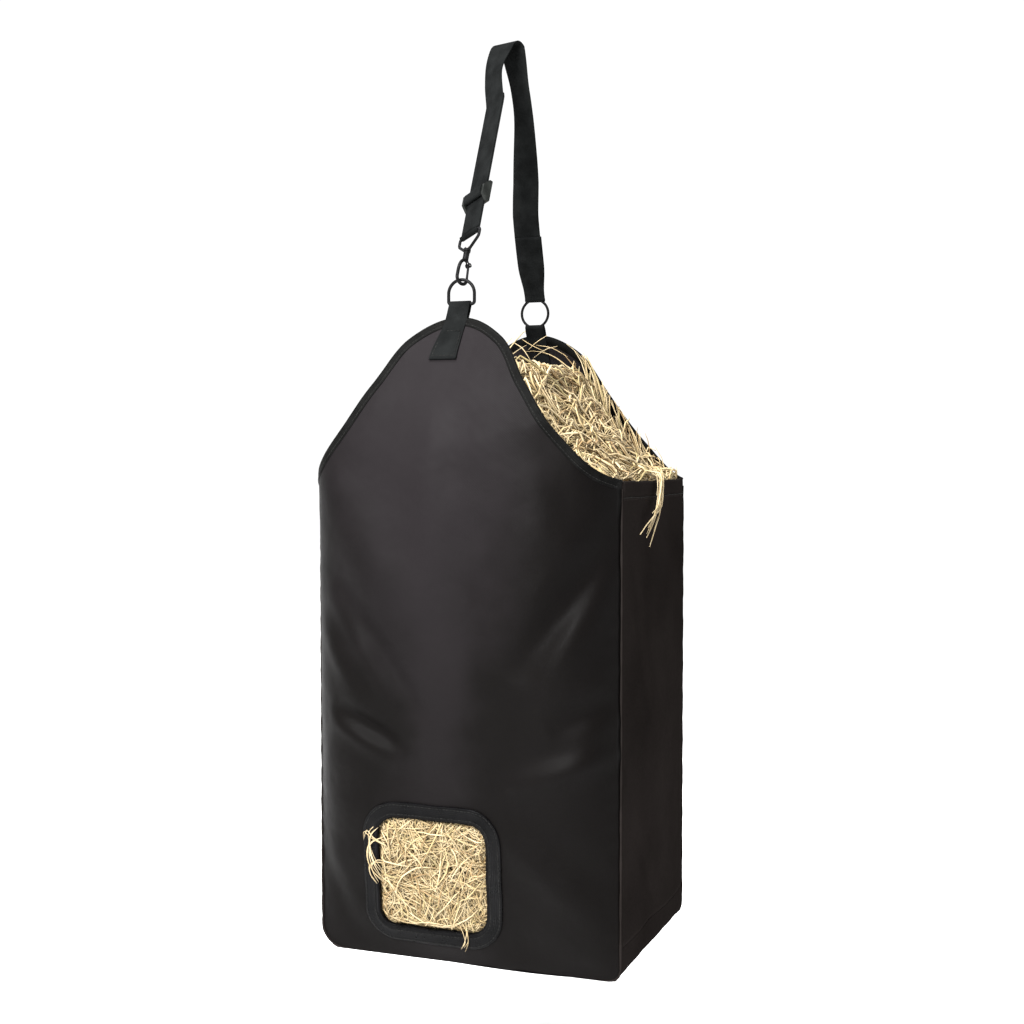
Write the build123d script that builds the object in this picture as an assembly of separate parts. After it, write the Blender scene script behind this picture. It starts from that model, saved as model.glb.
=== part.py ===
from build123d import *
import os
from math import asin, atan2, cos, pi, sin, sqrt, tan

# Hanging hay bag: a box-shaped bag of coated cloth with a bell-shaped front and back,
# open at the top, with a bound feed window low in the front. Webbing tabs on the two ears
# hold a D-ring and an O-ring, and an adjustable webbing strap with a swivel snap joins them.
#
# Row frame, millimetres: the origin is the hanging point, under the strap's top bend.
# +Z is up, +X runs across the front panel, and the front panel faces -Y.
# Heights below are measured from the bag's base and moved into the row frame by up().

# ---- driving dimensions: bag ----
BAG_WIDTH = 380.0
BAG_DEPTH = 275.0
SIDE_HEIGHT = 570.0
EAR_HEIGHT = 757.0
HANG_HEIGHT = 1110.0
CLOTH = 1.6
TAPE = 1.3
BASE_CORNER = 26.0
FRONT_SWELL = 77.5
BACK_SWELL = 18.5

# ---- driving dimensions: feed window ----
WINDOW_X = -31.0
WINDOW_HEIGHT = 109.0
WINDOW_SIZE = 140.0
WINDOW_CORNER = 23.0
WINDOW_BAND = 17.0

# ---- driving dimensions: tapes and hems ----
MOUTH_BAND = 9.0
SEAM_BAND = 10.0
SEAM_GAP = 0.6
HEM_HEIGHT = 22.0
HEM_END_GAP = 13.5
GUSSET_JOIN = 40.0

# ---- driving dimensions: webbing, tabs and rings ----
WEBBING = 35.0
WEB_THICK = 1.6
TAB_NECK = 27.0
TAB_FOOT = 712.0
TAB_THICK = 2.4
BEND_INNER = 6.0
RING_HEIGHT = 786.0
FRONT_RING_Y = -150.0
BACK_RING_Y = 100.0
D_RING_RADIUS = 16.1
D_RING_WIRE = 3.8
D_RING_DROP = 12.0
O_RING_RADIUS = 18.3
O_RING_WIRE = 3.4
LOOP_GAP = 0.3
SLEEVE_ANGLE = 84.0
FOLD_LENGTH = 82.0
NECK_DROP = 24.0

# ---- driving dimensions along the strap's front run, measured up it from the hook's bend ----
TWIST = -35.0
LINK_GAP = 1.0
HOOK_WIRE = 4.0
HOOK_TURN = 25.0
HOOK_HALF = 7.5
BARREL = (31.0, 42.2)
BARREL_RADIUS = 3.6
PIN_RADIUS = 1.6
PIN_HEAD_RADIUS = 2.9
PIN_HEAD = 2.0
PIN_FOOT = BARREL[0] + 3.0
EYE_COLLAR = (42.7, 46.2)
EYE_COLLAR_RADIUS = 4.3
EYE_WIRE = 3.5
EYE_BAR = 68.0
EYE_SHOULDER = 57.0
EYE_BENDS = [6.0, 4.0, 4.0, 6.0]
SLIDER_AT = 119.0
SLIDER_LENGTH = 28.0
SLIDER_RAIL = 4.0
CENTRE_BAR = (10.0, 2.6)
TAIL_END = 262.0
UNTWIST_FROM = 285.0
UNTWIST_STEPS = 8

# ---- driving dimensions of the snap's gate, in the hook's own plane ----
GATE_HINGE = (6.2, 27.0)
GATE_TIP = (HOOK_HALF, 10.4)
GATE_SLOT = 3.2
GATE_PIN_RADIUS = 0.7
GATE_RADIUS = 1.4
GATE_EYE = (-1.2, 0.1)
GATE_EYE_RADIUS = 2.3
GATE_PLAY = 0.08
GATE_BAR_START = 1.9
BOSS_RADIUS = 2.8
BOSS_HALF = 2.7
SPRING_RADIUS = 1.35
SPRING_SIDES = (0.25, 1.5)

HALF_WIDTH = BAG_WIDTH / 2
HALF_DEPTH = BAG_DEPTH / 2
FAR = 600.0
CUT_MARGIN = 8.0
CUT_REACH = 4.0

# Each row is (height, outer face on the centre line, swell of the arc across the panel).
FRONT_SECTIONS = [
    (-2.0, -138.5, 1.0),
    (60.0, -155.0, 17.5),
    (150.0, -176.0, 38.5),
    (290.0, -198.0, 60.5),
    (440.0, -211.5, 74.0),
    (575.0, -215.0, FRONT_SWELL),
    (622.0, -211.5, FRONT_SWELL),
    (663.0, -202.0, FRONT_SWELL),
    (712.0, -181.0, FRONT_SWELL),
    (790.0, -142.8, FRONT_SWELL),
]
BACK_SECTIONS = [
    (-2.0, 138.5, 1.0),
    (60.0, 146.5, 9.0),
    (200.0, 153.5, 16.0),
    (400.0, 156.0, BACK_SWELL),
    (575.0, 156.0, BACK_SWELL),
    (625.0, 147.0, BACK_SWELL),
    (690.0, 126.0, BACK_SWELL),
    (790.0, 94.7, BACK_SWELL),
]

# Centres that the rings turn on, and the line of the strap's front run.
BACK_RING = Vector(0, BACK_RING_Y, RING_HEIGHT - HANG_HEIGHT)
D_BAR = Vector(0, FRONT_RING_Y, RING_HEIGHT - HANG_HEIGHT - D_RING_DROP)
BEND_CENTRE = Vector(0, 0, -BEND_INNER)
D_TOP = Vector(0, FRONT_RING_Y, RING_HEIGHT - HANG_HEIGHT + D_RING_RADIUS)
O_TOP = Vector(0, BACK_RING_Y, RING_HEIGHT - HANG_HEIGHT + O_RING_RADIUS)


def up(height):
    """Row-frame Z of a height above the bag's base."""
    return height - HANG_HEIGHT


# ---------------------------------------------------------------- bag cloth
def layer(sections, inner, outer):
    """Solid between two offsets from a panel's outer face, positive offsets to the inside."""
    side = 1 if sections[0][1] > 0 else -1
    reach = HALF_WIDTH + CUT_MARGIN
    slices = []
    for height, centre, swell in sections:
        z = up(height)
        radius = (HALF_WIDTH ** 2 + swell ** 2) / (2 * swell)
        edge = centre - side * (radius - sqrt(radius ** 2 - reach ** 2))
        arcs = []
        for depth in (inner, outer):
            shift = -side * depth
            arcs.append(ThreePointArc((-reach, edge + shift, z), (0, centre + shift, z),
                                      (reach, edge + shift, z)))
        ends = [Line(arcs[0] @ t, arcs[1] @ t) for t in (0, 1)]
        slices.append(Wire([arcs[0].edge(), ends[1].edge(), arcs[1].edge(), ends[0].edge()]))
    return Solid.make_loft(slices)


def ear_edge():
    """Right half of the bell-shaped ear, from the side seam to the top."""
    return Spline((HALF_WIDTH, SIDE_HEIGHT), (138, 617), (92, 681), (56, 734), (0, EAR_HEIGHT),
                  tangents=((-1, 0.38), (-1, 0)), tangent_scalars=(0.9, 1.2))


def both_halves(half):
    """Face bounded by a right half and its mirror image."""
    edges = Curve() + half
    return make_face(edges + mirror(edges, Plane.YZ))


def bell_outline():
    """Front view of a panel: straight sides, rounded lower corners and one bell-shaped ear."""
    return both_halves([
        Line((0, 0), (HALF_WIDTH - BASE_CORNER, 0)),
        RadiusArc((HALF_WIDTH - BASE_CORNER, 0), (HALF_WIDTH, BASE_CORNER), -BASE_CORNER),
        Line((HALF_WIDTH, BASE_CORNER), (HALF_WIDTH, SIDE_HEIGHT)),
        ear_edge(),
    ])


def moved_edge(distance):
    """The ear's edge moved outwards by a distance, as a spline."""
    edge = ear_edge()
    points = []
    for step in range(7):
        place = edge @ (step / 6)
        way = edge % (step / 6)
        points.append((place.X + distance * way.Y, place.Y - distance * way.X))
    return Spline(*points, tangents=(edge % 0, edge % 1))


def ear_band(inner, outer):
    """Band along the ear's edge between two distances from it, positive outwards."""
    low, high = moved_edge(inner), moved_edge(outer)
    return both_halves([low, Line(low @ 0, high @ 0), high])


def through(sketch, low=-FAR, high=FAR):
    """Prism of a front-view sketch from one Y to another."""
    place = Plane(origin=(0, low, up(0)), x_dir=(1, 0, 0), z_dir=(0, -1, 0))
    return extrude(place * sketch, amount=low - high)


def rounded(width, height, radius, x, z):
    return Pos(x, z) * RectangleRounded(width, height, radius)


def cloth_panel(sections):
    return layer(sections, 0, CLOTH) & through(bell_outline())


def largest(shape):
    """The main solid of a cut piece, without the slivers that a cut can leave."""
    return shape.solids().sort_by(SortBy.VOLUME)[-1]


def front_panel():
    hole = rounded(WINDOW_SIZE, WINDOW_SIZE, WINDOW_CORNER, WINDOW_X, WINDOW_HEIGHT)
    return cloth_panel(FRONT_SECTIONS) - through(hole)


def window_binding(panel):
    """Tape folded over the cut edge of the feed window."""
    outside = WINDOW_SIZE + 2 * WINDOW_BAND
    inside = WINDOW_SIZE - 2 * TAPE
    band = rounded(outside, outside, WINDOW_CORNER + WINDOW_BAND, WINDOW_X, WINDOW_HEIGHT)
    band -= rounded(inside, inside, WINDOW_CORNER - TAPE, WINDOW_X, WINDOW_HEIGHT)
    return (layer(FRONT_SECTIONS, -TAPE, CLOTH + TAPE) & through(band)) - panel


def mouth_binding(sections, panel):
    """Tape folded over the free bell-shaped edge of a panel."""
    return (layer(sections, -TAPE, CLOTH + TAPE) & through(ear_band(-MOUTH_BAND, TAPE))) - panel


def gusset_profile(outer_inset, inner_inset, top):
    """Front view of the strip that runs down one side, along the base and up the other side."""
    outline = Pos(0, FAR / 2) * Rectangle(BAG_WIDTH, FAR)
    outline = fillet(outline.vertices().group_by(Axis.Y)[0], BASE_CORNER)
    strip = offset(outline, -outer_inset) if outer_inset else outline
    strip -= offset(outline, -inner_inset)
    return strip & Pos(0, top / 2) * Rectangle(2 * FAR, top)


def gusset_panels():
    """Left side, base and right side, sewn together just above the rounded lower corners."""
    reach = HALF_DEPTH - CLOTH
    strip = through(gusset_profile(0, CLOTH, SIDE_HEIGHT), -reach, reach)
    join = up(GUSSET_JOIN)
    base = split(strip, Plane.XY.offset(join), keep=Keep.BOTTOM)
    sides = split(strip, Plane.XY.offset(join), keep=Keep.TOP).solids().sort_by(Axis.X)
    return sides[0], base, sides[1]


def seam_binding(side):
    """Tape that covers the inside seam of a panel and the gusset, down, across and up."""
    near = side * (HALF_DEPTH - CLOTH - SEAM_GAP)
    far = near - side * SEAM_BAND
    low, high = min(near, far), max(near, far)
    return through(gusset_profile(CLOTH, CLOTH + TAPE, SIDE_HEIGHT - 5), low, high)


def mouth_hem(side, panel):
    """Folded hem along the top edge of a side panel, between the two seam bindings."""
    x = side * (HALF_WIDTH - CLOTH / 2)
    length = 2 * (HALF_DEPTH - HEM_END_GAP)
    middle = up(SIDE_HEIGHT + (TAPE - HEM_HEIGHT) / 2)
    block = Pos(x, 0, middle) * Box(CLOTH + 2 * TAPE, length, HEM_HEIGHT + TAPE)
    return block - panel


def run_line(start):
    """Direction and length of a strap run from a ring's top to its tangent point on the bend."""
    reach = BEND_CENTRE - start
    side = 1 if reach.Y > 0 else -1
    lean = atan2(abs(reach.Y), reach.Z) - asin(BEND_INNER / reach.length)
    return Vector(0, side * sin(lean), cos(lean)), sqrt(reach.length ** 2 - BEND_INNER ** 2)


FRONT_DIR, FRONT_LENGTH = run_line(D_TOP)
BACK_DIR, BACK_LENGTH = run_line(O_TOP)
LINK_OFFSET = (D_RING_WIRE + HOOK_WIRE) / 2 + LINK_GAP
HOOK_BEND = D_TOP - FRONT_DIR * LINK_OFFSET
FRONT_END = FRONT_LENGTH + LINK_OFFSET


def on_front(distance, twist=TWIST):
    """Cross plane of the front run: local x across the webbing, local y to its inner side."""
    turn = twist * pi / 180
    across = Vector(1, 0, 0) * cos(turn) + FRONT_DIR.cross(Vector(1, 0, 0)) * sin(turn)
    return Plane(origin=HOOK_BEND + FRONT_DIR * distance, x_dir=across, z_dir=FRONT_DIR)


def on_back(distance):
    """Cross plane of the back run: local x across the webbing, local y to its outer side."""
    return Plane(origin=O_TOP + BACK_DIR * distance, x_dir=(1, 0, 0), z_dir=BACK_DIR)


def front_side(distance, twist=TWIST):
    """Plane that holds the front run's line: local x across it, local y up along it."""
    cross = on_front(distance, twist)
    return Plane(origin=cross.origin, x_dir=cross.x_dir, z_dir=-cross.y_dir)


def ribbon(planes, widths, inner, outer):
    """Webbing through a row of cross planes, between two offsets on their local y."""
    mid = (inner + outer) / 2
    faces = [plane * Pos(0, mid) * Rectangle(width, outer - inner)
             for plane, width in zip(planes, widths)]
    return Solid.make_loft([face.wire() for face in faces], ruled=True)


# ---------------------------------------------------------------- rings and tabs
def d_ring():
    """Bent wire D: a round top, two short legs and a straight bar at the bottom."""
    r = D_RING_RADIUS
    place = Plane(origin=(0, FRONT_RING_Y, up(RING_HEIGHT)), x_dir=(1, 0, 0), z_dir=(0, -1, 0))
    arc = ThreePointArc((r, 0), (0, r), (-r, 0))
    legs = FilletPolyline((-r, 0), (-r, -D_RING_DROP), (r, -D_RING_DROP), (r, 0), radius=3.5)
    path = place * Wire([arc.edge()] + legs.edges())
    return sweep(Plane(origin=path @ 0, z_dir=path % 0) * Circle(D_RING_WIRE / 2), path=path)


def ring_torus(wire_radius):
    return Location(tuple(BACK_RING), (90, 0, 0)) * Torus(O_RING_RADIUS, wire_radius)


def o_ring():
    return ring_torus(O_RING_WIRE / 2)


def ring_sleeve(direction):
    """Webbing wrapped round the O-ring's wire, above it for 1 and below it for -1."""
    hollow = O_RING_WIRE / 2 + LOOP_GAP
    spread = 40 * tan(SLEEVE_ANGLE / 2 * pi / 180)
    wedge = make_face(Polyline((0, 0), (spread, direction * 40), (-spread, direction * 40), close=True))
    wedge = through(Pos(0, RING_HEIGHT) * wedge, BACK_RING_Y - 20, BACK_RING_Y + 20)
    return (ring_torus(hollow + WEB_THICK) & wedge) - ring_torus(hollow)


def ring_disc():
    """Everything inside the O-ring's wire line, cut away from webbing that reaches the ring."""
    return Location(tuple(BACK_RING), (90, 0, 0)) * Cylinder(O_RING_RADIUS, 60)


def tab_strip(sections, top):
    """Both legs of a tab as one tapered strip that straddles a panel's ear."""
    neck = RING_HEIGHT - NECK_DROP
    flare = make_face(Polyline((-WEBBING / 2, TAB_FOOT), (WEBBING / 2, TAB_FOOT), (TAB_NECK / 2, neck),
                               (TAB_NECK / 2, top), (-TAB_NECK / 2, top), (-TAB_NECK / 2, neck),
                               close=True))
    return layer(sections, -TAB_THICK, CLOTH + TAB_THICK) & through(flare)


def front_tab(panel, binding):
    """Webbing loop on the D-ring's bar, with a leg down each face of the front ear."""
    hollow = D_RING_WIRE / 2 + LOOP_GAP
    across = Plane(origin=D_BAR, z_dir=(1, 0, 0))
    roll = across * Cylinder(hollow + WEB_THICK, TAB_NECK)
    tab = tab_strip(FRONT_SECTIONS, D_BAR.Z + HANG_HEIGHT) + roll
    return tab - across * Cylinder(hollow, 2 * WEBBING) - panel - binding


def back_tab(panel, binding):
    """Webbing loop on the O-ring, with a leg down each face of the back ear."""
    tab = tab_strip(BACK_SECTIONS, RING_HEIGHT - 10) - ring_disc() + ring_sleeve(-1)
    return tab - ring_torus(O_RING_WIRE / 2 + LOOP_GAP) - panel - binding


# ---------------------------------------------------------------- strap
def strap_bend():
    """The turn of the webbing over whatever the bag hangs from."""
    y, z = BEND_CENTRE.Y, BEND_CENTRE.Z
    ring = Pos(y, z) * (Circle(BEND_INNER + WEB_THICK) - Circle(BEND_INNER))
    front = (y - 40 * FRONT_DIR.Z, z + 40 * FRONT_DIR.Y)
    back = (y + 40 * BACK_DIR.Z, z - 40 * BACK_DIR.Y)
    sector = make_face(Polyline((y, z), front, (front[0], z + 60), (back[0], z + 60), back, close=True))
    return extrude(Plane.YZ * (ring & sector), amount=WEBBING / 2, both=True)


def untwisting():
    """Cross planes from the twisted lower run to the untwisted bend."""
    planes = [on_front(EYE_BAR)]
    for step in range(UNTWIST_STEPS + 1):
        share = step / UNTWIST_STEPS
        ease = share * share * (3 - 2 * share)
        planes.append(on_front(UNTWIST_FROM + share * (FRONT_END - UNTWIST_FROM), TWIST * (1 - ease)))
    return planes


def strap_webbing(loops):
    """The strap's long piece: up the back run, over the bend and down the front run."""
    planes = untwisting()
    front = ribbon(planes, [WEBBING] * len(planes), -WEB_THICK, 0)
    back = ribbon([on_back(-6), on_back(4), on_back(44), on_back(BACK_LENGTH)],
                  [TAB_NECK, TAB_NECK, WEBBING, WEBBING], 0, WEB_THICK)
    strap = front + strap_bend() + (back - ring_disc())
    for loop in loops:
        strap -= loop
    return largest(strap)


def strap_ring_loop():
    """The strap's end, wrapped round the O-ring and sewn back up the inner face of the back run."""
    fold = ribbon([on_back(-6), on_back(4), on_back(44), on_back(FOLD_LENGTH)],
                  [TAB_NECK, TAB_NECK, WEBBING, WEBBING], -WEB_THICK, 0)
    loop = (fold - ring_disc()) + ring_sleeve(1)
    return loop - ring_torus(O_RING_WIRE / 2 + LOOP_GAP)


def strap_snap_loop():
    """The webbing round the snap's bar and the doubled tail that runs up behind the front run."""
    hollow = EYE_WIRE / 2 + LOOP_GAP
    cross = on_front(EYE_BAR)
    across = Plane(origin=cross.origin, z_dir=cross.x_dir)
    tail = ribbon([on_front(EYE_BAR), on_front(TAIL_END)], [WEBBING, WEBBING], 0, WEB_THICK)
    loop = tail + across * Cylinder(hollow + WEB_THICK, WEBBING)
    return loop - across * Cylinder(hollow, 2 * WEBBING)


# ---------------------------------------------------------------- strap slider
def slot_bar(length, thick, grow=0.0):
    """Side view of a flat bar with round edges, long up the strap."""
    return SlotOverall(length + 2 * grow, thick + 2 * grow, rotation=90)


def slider_parts():
    """Tri-glide frame, and the short webbing end sewn round its centre bar."""
    cross = on_front(SLIDER_AT)
    side = Plane(origin=cross.origin, x_dir=-cross.y_dir, z_dir=cross.x_dir)
    wrap_gap = 0.1
    layer_face = WEB_THICK + LOOP_GAP
    centre = layer_face + WEB_THICK + wrap_gap + CENTRE_BAR[1] / 2
    half = SLIDER_LENGTH / 2
    front = centre + CENTRE_BAR[1] / 2 + 0.3
    rail = make_face(Polyline((-layer_face - 2.6, -half), (-layer_face - 2.6, half), (-0.4, half),
                              (front, 6), (front, -6), (-0.4, -half), close=True))
    rail = fillet(rail.vertices(), 1.1)
    inner = WEBBING / 2 + 0.6
    frame = Part()
    for hand in (1, -1):
        near = hand * inner
        frame += extrude(side.offset(near) * rail, amount=hand * SLIDER_RAIL)
    end_bar = Pos(-layer_face - 1.3, 0) * slot_bar(5, 2.6)
    bars = Pos(centre, 0) * slot_bar(*CENTRE_BAR)
    for end in (1, -1):
        bars += Pos(0, end * (half - 2.5)) * end_bar
    frame += extrude(side * bars, amount=inner + 0.2, both=True)
    wrap = slot_bar(*CENTRE_BAR, grow=wrap_gap + WEB_THICK) - slot_bar(*CENTRE_BAR, grow=wrap_gap)
    wrap = extrude(side * Pos(centre, 0) * wrap, amount=WEBBING / 2 - 0.5, both=True)
    return frame, wrap


# ---------------------------------------------------------------- swivel snap
def along(radius, low, high):
    """Cylinder on the front run's line between two distances."""
    return extrude(on_front(low) * Circle(radius), amount=high - low)


def snap_eye():
    """Wire loop that the webbing holds, with a drilled collar for the swivel pin."""
    bar = WEBBING / 2 + 1.2 + EYE_WIRE / 2
    plane = front_side(0)
    collar_side = EYE_COLLAR_RADIUS - 0.8
    middle = sum(EYE_COLLAR) / 2
    shoulder, foot, start = (bar, EYE_SHOULDER), (bar, EYE_BAR), (collar_side, middle)
    left = [(-x, y) for x, y in (foot, shoulder, start)]
    path = plane * FilletPolyline(start, shoulder, foot, *left, radius=EYE_BENDS)
    wire = sweep(Plane(origin=path @ 0, z_dir=path % 0) * Circle(EYE_WIRE / 2), path=path)
    collar = along(EYE_COLLAR_RADIUS, *EYE_COLLAR)
    return wire + collar - along(PIN_RADIUS + 0.15, EYE_COLLAR[0] - 5, EYE_COLLAR[1] + 5)


def snap_swivel_pin():
    """Headed pin: fixed in the hook's barrel, turning in the eye's collar."""
    head = EYE_COLLAR[1] + 0.3
    return along(PIN_RADIUS, PIN_FOOT, head + 0.1) + along(PIN_HEAD_RADIUS, head, head + PIN_HEAD)


def hook_plane():
    return front_side(0, 90 - HOOK_TURN)


def across_hook(sketch, low, high):
    """Prism of a side view of the hook, between two distances to either face of it."""
    plane = hook_plane()
    return extrude(plane.offset(low) * sketch, amount=high - low)


def snap_hook():
    """Wire hook with its barrel and the slotted boss that carries the gate."""
    plane = hook_plane()
    spine = Spline((0, 34), (-5.6, 26), (-HOOK_HALF, 17), (-HOOK_HALF, HOOK_HALF),
                   tangents=((-0.6, -1), (0, -1)))
    bend = ThreePointArc((-HOOK_HALF, HOOK_HALF), (0, 0), (HOOK_HALF, HOOK_HALF))
    nose = Line((HOOK_HALF, HOOK_HALF), (HOOK_HALF, 9.4))
    path = plane * Wire([spine.edge(), bend.edge(), nose.edge()])
    wire = sweep(Plane(origin=path @ 0, z_dir=path % 0) * Circle(HOOK_WIRE / 2), path=path)
    shoulder = plane * Line((0, 34), GATE_HINGE)
    arm = sweep(Plane(origin=shoulder @ 0, z_dir=shoulder % 0) * Circle(HOOK_WIRE / 2), path=shoulder)
    boss = across_hook(Pos(*GATE_HINGE) * Circle(BOSS_RADIUS), -BOSS_HALF, BOSS_HALF)
    hook = wire + arm + boss + along(BARREL_RADIUS, *BARREL)
    slot = Pos(GATE_HINGE[0] + 0.4, GATE_HINGE[1] - 2.4) * Rectangle(8.5, 12.2)
    hook -= across_hook(slot, -GATE_SLOT / 2, GATE_SLOT / 2)
    hook -= across_hook(Pos(*GATE_HINGE) * Circle(GATE_PIN_RADIUS), -CUT_REACH, CUT_REACH)
    hook -= along(PIN_RADIUS, PIN_FOOT, BARREL[1] + 1)
    return largest(hook)


def snap_gate():
    """Sprung gate: a flat eye on the hinge pin and a round bar that closes the hook."""
    plane = hook_plane()
    reach = Vector(*GATE_TIP) - Vector(*GATE_HINGE)
    start = Vector(*GATE_HINGE) + reach.normalized() * GATE_BAR_START
    line = plane * Line(start, GATE_TIP)
    bar = sweep(Plane(origin=line @ 0, z_dir=line % 0) * Circle(GATE_RADIUS), path=line)
    eye = across_hook(Pos(*GATE_HINGE) * Circle(GATE_EYE_RADIUS), *GATE_EYE)
    bore = Pos(*GATE_HINGE) * Circle(GATE_PIN_RADIUS + GATE_PLAY)
    return eye + bar - across_hook(bore, -CUT_REACH, CUT_REACH)


def gate_pin():
    return across_hook(Pos(*GATE_HINGE) * Circle(GATE_PIN_RADIUS), -BOSS_HALF, BOSS_HALF)


def gate_spring():
    """Outer shape of the small torsion coil beside the gate's eye."""
    coil = Circle(SPRING_RADIUS) - Circle(GATE_PIN_RADIUS + GATE_PLAY)
    return across_hook(Pos(*GATE_HINGE) * coil, *SPRING_SIDES)


def build():
    """Every sub-part by node name."""
    parts = {}
    front = front_panel()
    back = cloth_panel(BACK_SECTIONS)
    left, base, right = [largest(piece - front - back) for piece in gusset_panels()]
    parts["front_panel"] = front
    parts["back_panel"] = back
    parts["left_side_panel"] = left
    parts["right_side_panel"] = right
    parts["base_panel"] = base
    parts["window_binding"] = window_binding(front)
    parts["front_mouth_binding"] = mouth_binding(FRONT_SECTIONS, front) - left - right
    parts["back_mouth_binding"] = mouth_binding(BACK_SECTIONS, back) - left - right
    parts["left_mouth_hem"] = mouth_hem(-1, left)
    parts["right_mouth_hem"] = mouth_hem(1, right)
    parts["front_seam_binding"] = seam_binding(-1) - front
    parts["back_seam_binding"] = seam_binding(1) - back
    parts["front_tab"] = front_tab(front, parts["front_mouth_binding"])
    parts["back_tab"] = back_tab(back, parts["back_mouth_binding"])
    parts["front_d_ring"] = d_ring()
    parts["back_o_ring"] = o_ring()
    ring_loop = strap_ring_loop()
    snap_loop = strap_snap_loop()
    parts["strap_webbing"] = strap_webbing([ring_loop, snap_loop])
    parts["strap_ring_loop"] = ring_loop - parts["strap_webbing"]
    parts["strap_snap_loop"] = snap_loop
    parts["slider_frame"], parts["slider_webbing_end"] = slider_parts()
    parts["snap_eye"] = snap_eye()
    parts["snap_swivel_pin"] = snap_swivel_pin()
    parts["snap_hook"] = snap_hook()
    parts["snap_gate"] = snap_gate()
    parts["gate_pin"] = gate_pin()
    parts["gate_spring"] = gate_spring()
    return parts


def main():
    os.makedirs("parts", exist_ok=True)
    for name, shape in build().items():
        export_step(largest(shape), os.path.join("parts", name + ".step"))


main()
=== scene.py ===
import math

import bmesh
import bpy
import numpy as np
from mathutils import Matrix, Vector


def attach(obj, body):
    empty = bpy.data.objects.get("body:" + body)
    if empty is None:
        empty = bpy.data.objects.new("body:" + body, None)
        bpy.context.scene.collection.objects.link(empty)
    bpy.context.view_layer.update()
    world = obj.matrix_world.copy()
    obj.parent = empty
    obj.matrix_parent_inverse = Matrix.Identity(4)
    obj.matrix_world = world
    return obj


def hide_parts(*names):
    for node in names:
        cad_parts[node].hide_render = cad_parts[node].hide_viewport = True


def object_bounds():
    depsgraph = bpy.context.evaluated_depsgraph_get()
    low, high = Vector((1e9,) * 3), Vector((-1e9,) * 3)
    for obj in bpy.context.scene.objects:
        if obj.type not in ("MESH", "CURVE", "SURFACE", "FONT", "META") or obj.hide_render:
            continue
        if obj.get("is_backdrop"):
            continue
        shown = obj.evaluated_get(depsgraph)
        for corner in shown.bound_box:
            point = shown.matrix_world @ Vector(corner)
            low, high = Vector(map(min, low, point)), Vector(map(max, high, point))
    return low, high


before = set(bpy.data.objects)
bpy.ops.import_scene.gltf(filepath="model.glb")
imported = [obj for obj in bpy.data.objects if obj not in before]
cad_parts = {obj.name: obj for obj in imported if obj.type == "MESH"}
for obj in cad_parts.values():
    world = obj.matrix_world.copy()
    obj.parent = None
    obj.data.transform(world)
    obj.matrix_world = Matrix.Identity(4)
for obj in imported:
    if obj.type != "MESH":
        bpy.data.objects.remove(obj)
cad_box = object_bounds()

# Hanging hay bag. Lengths below are in millimetres in the part's frame: the origin is the hanging
# point, +Z is up and the front panel faces -Y. Heights (h) are measured from the bag's base.
# side is -1 for the front or left one of two things and 1 for the back or right one.
MM = 0.001
HANG_HEIGHT = 1110.0
HALF_WIDTH = 190.0
HALF_DEPTH = 137.5
SIDE_HEIGHT = 570.0
EAR_HEIGHT = 757.0
CLOTH = 1.6                          # thickness
CORNER = {-1: 30.0, 1: 15.0}         # radii of the bag's lower corners
JOIN = 40.0                          # height where a gusset meets the base strip
WINDOW = (-31.0, 109.0, 70.0, 23.0)  # middle x and height, half its size, corner radius
WINDOW_LEAN = 0.08                   # to the right for each millimetre up

# Camera and studio, in metres and degrees. A light has a place, a target, a size and a power.
CAMERA_PLACE = (0.6708, -1.7567, -0.5186)
CAMERA_TILT, CAMERA_TURN, CAMERA_LENS = 88.10, 20.74, 52.72
LIGHTS = {"key": ((-0.25, -2.65, 0.85), (0.0, -0.1, -0.50), (1.1, 1.2), 350.0),
          "top": ((-0.2, -0.9, 2.2), (0.0, 0.0, -0.45), (1.0, 1.0), 220.0)}
WORLD_STRENGTH = 1.05
FLOOR_REACH, FLOOR_Z, FLOOR_GREY = 12.0, -1.36, 0.97


# ---------- camera, light and floor
def place_object(name, data, location=(0.0, 0.0, 0.0), rotation=(0.0, 0.0, 0.0)):
    obj = bpy.data.objects.new(name, data)
    obj.location, obj.rotation_euler = location, rotation
    bpy.context.scene.collection.objects.link(obj)
    return obj


def make_camera():
    data = bpy.data.cameras.new("camera")
    data.lens, data.sensor_width = CAMERA_LENS, 36.0
    turn = (math.radians(CAMERA_TILT), 0.0, math.radians(CAMERA_TURN))
    bpy.context.scene.camera = place_object("camera", data, CAMERA_PLACE, turn)


def make_light(name, place, target, size, power):
    data = bpy.data.lights.new(name, "AREA")
    data.shape = "RECTANGLE"
    data.size, data.size_y = size
    data.energy = power
    x, y, z = np.array(target) - np.array(place)
    turn = (math.pi / 2 + math.atan2(z, math.hypot(x, y)), 0.0, math.atan2(-x, y))
    place_object(name, data, place, turn)


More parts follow.
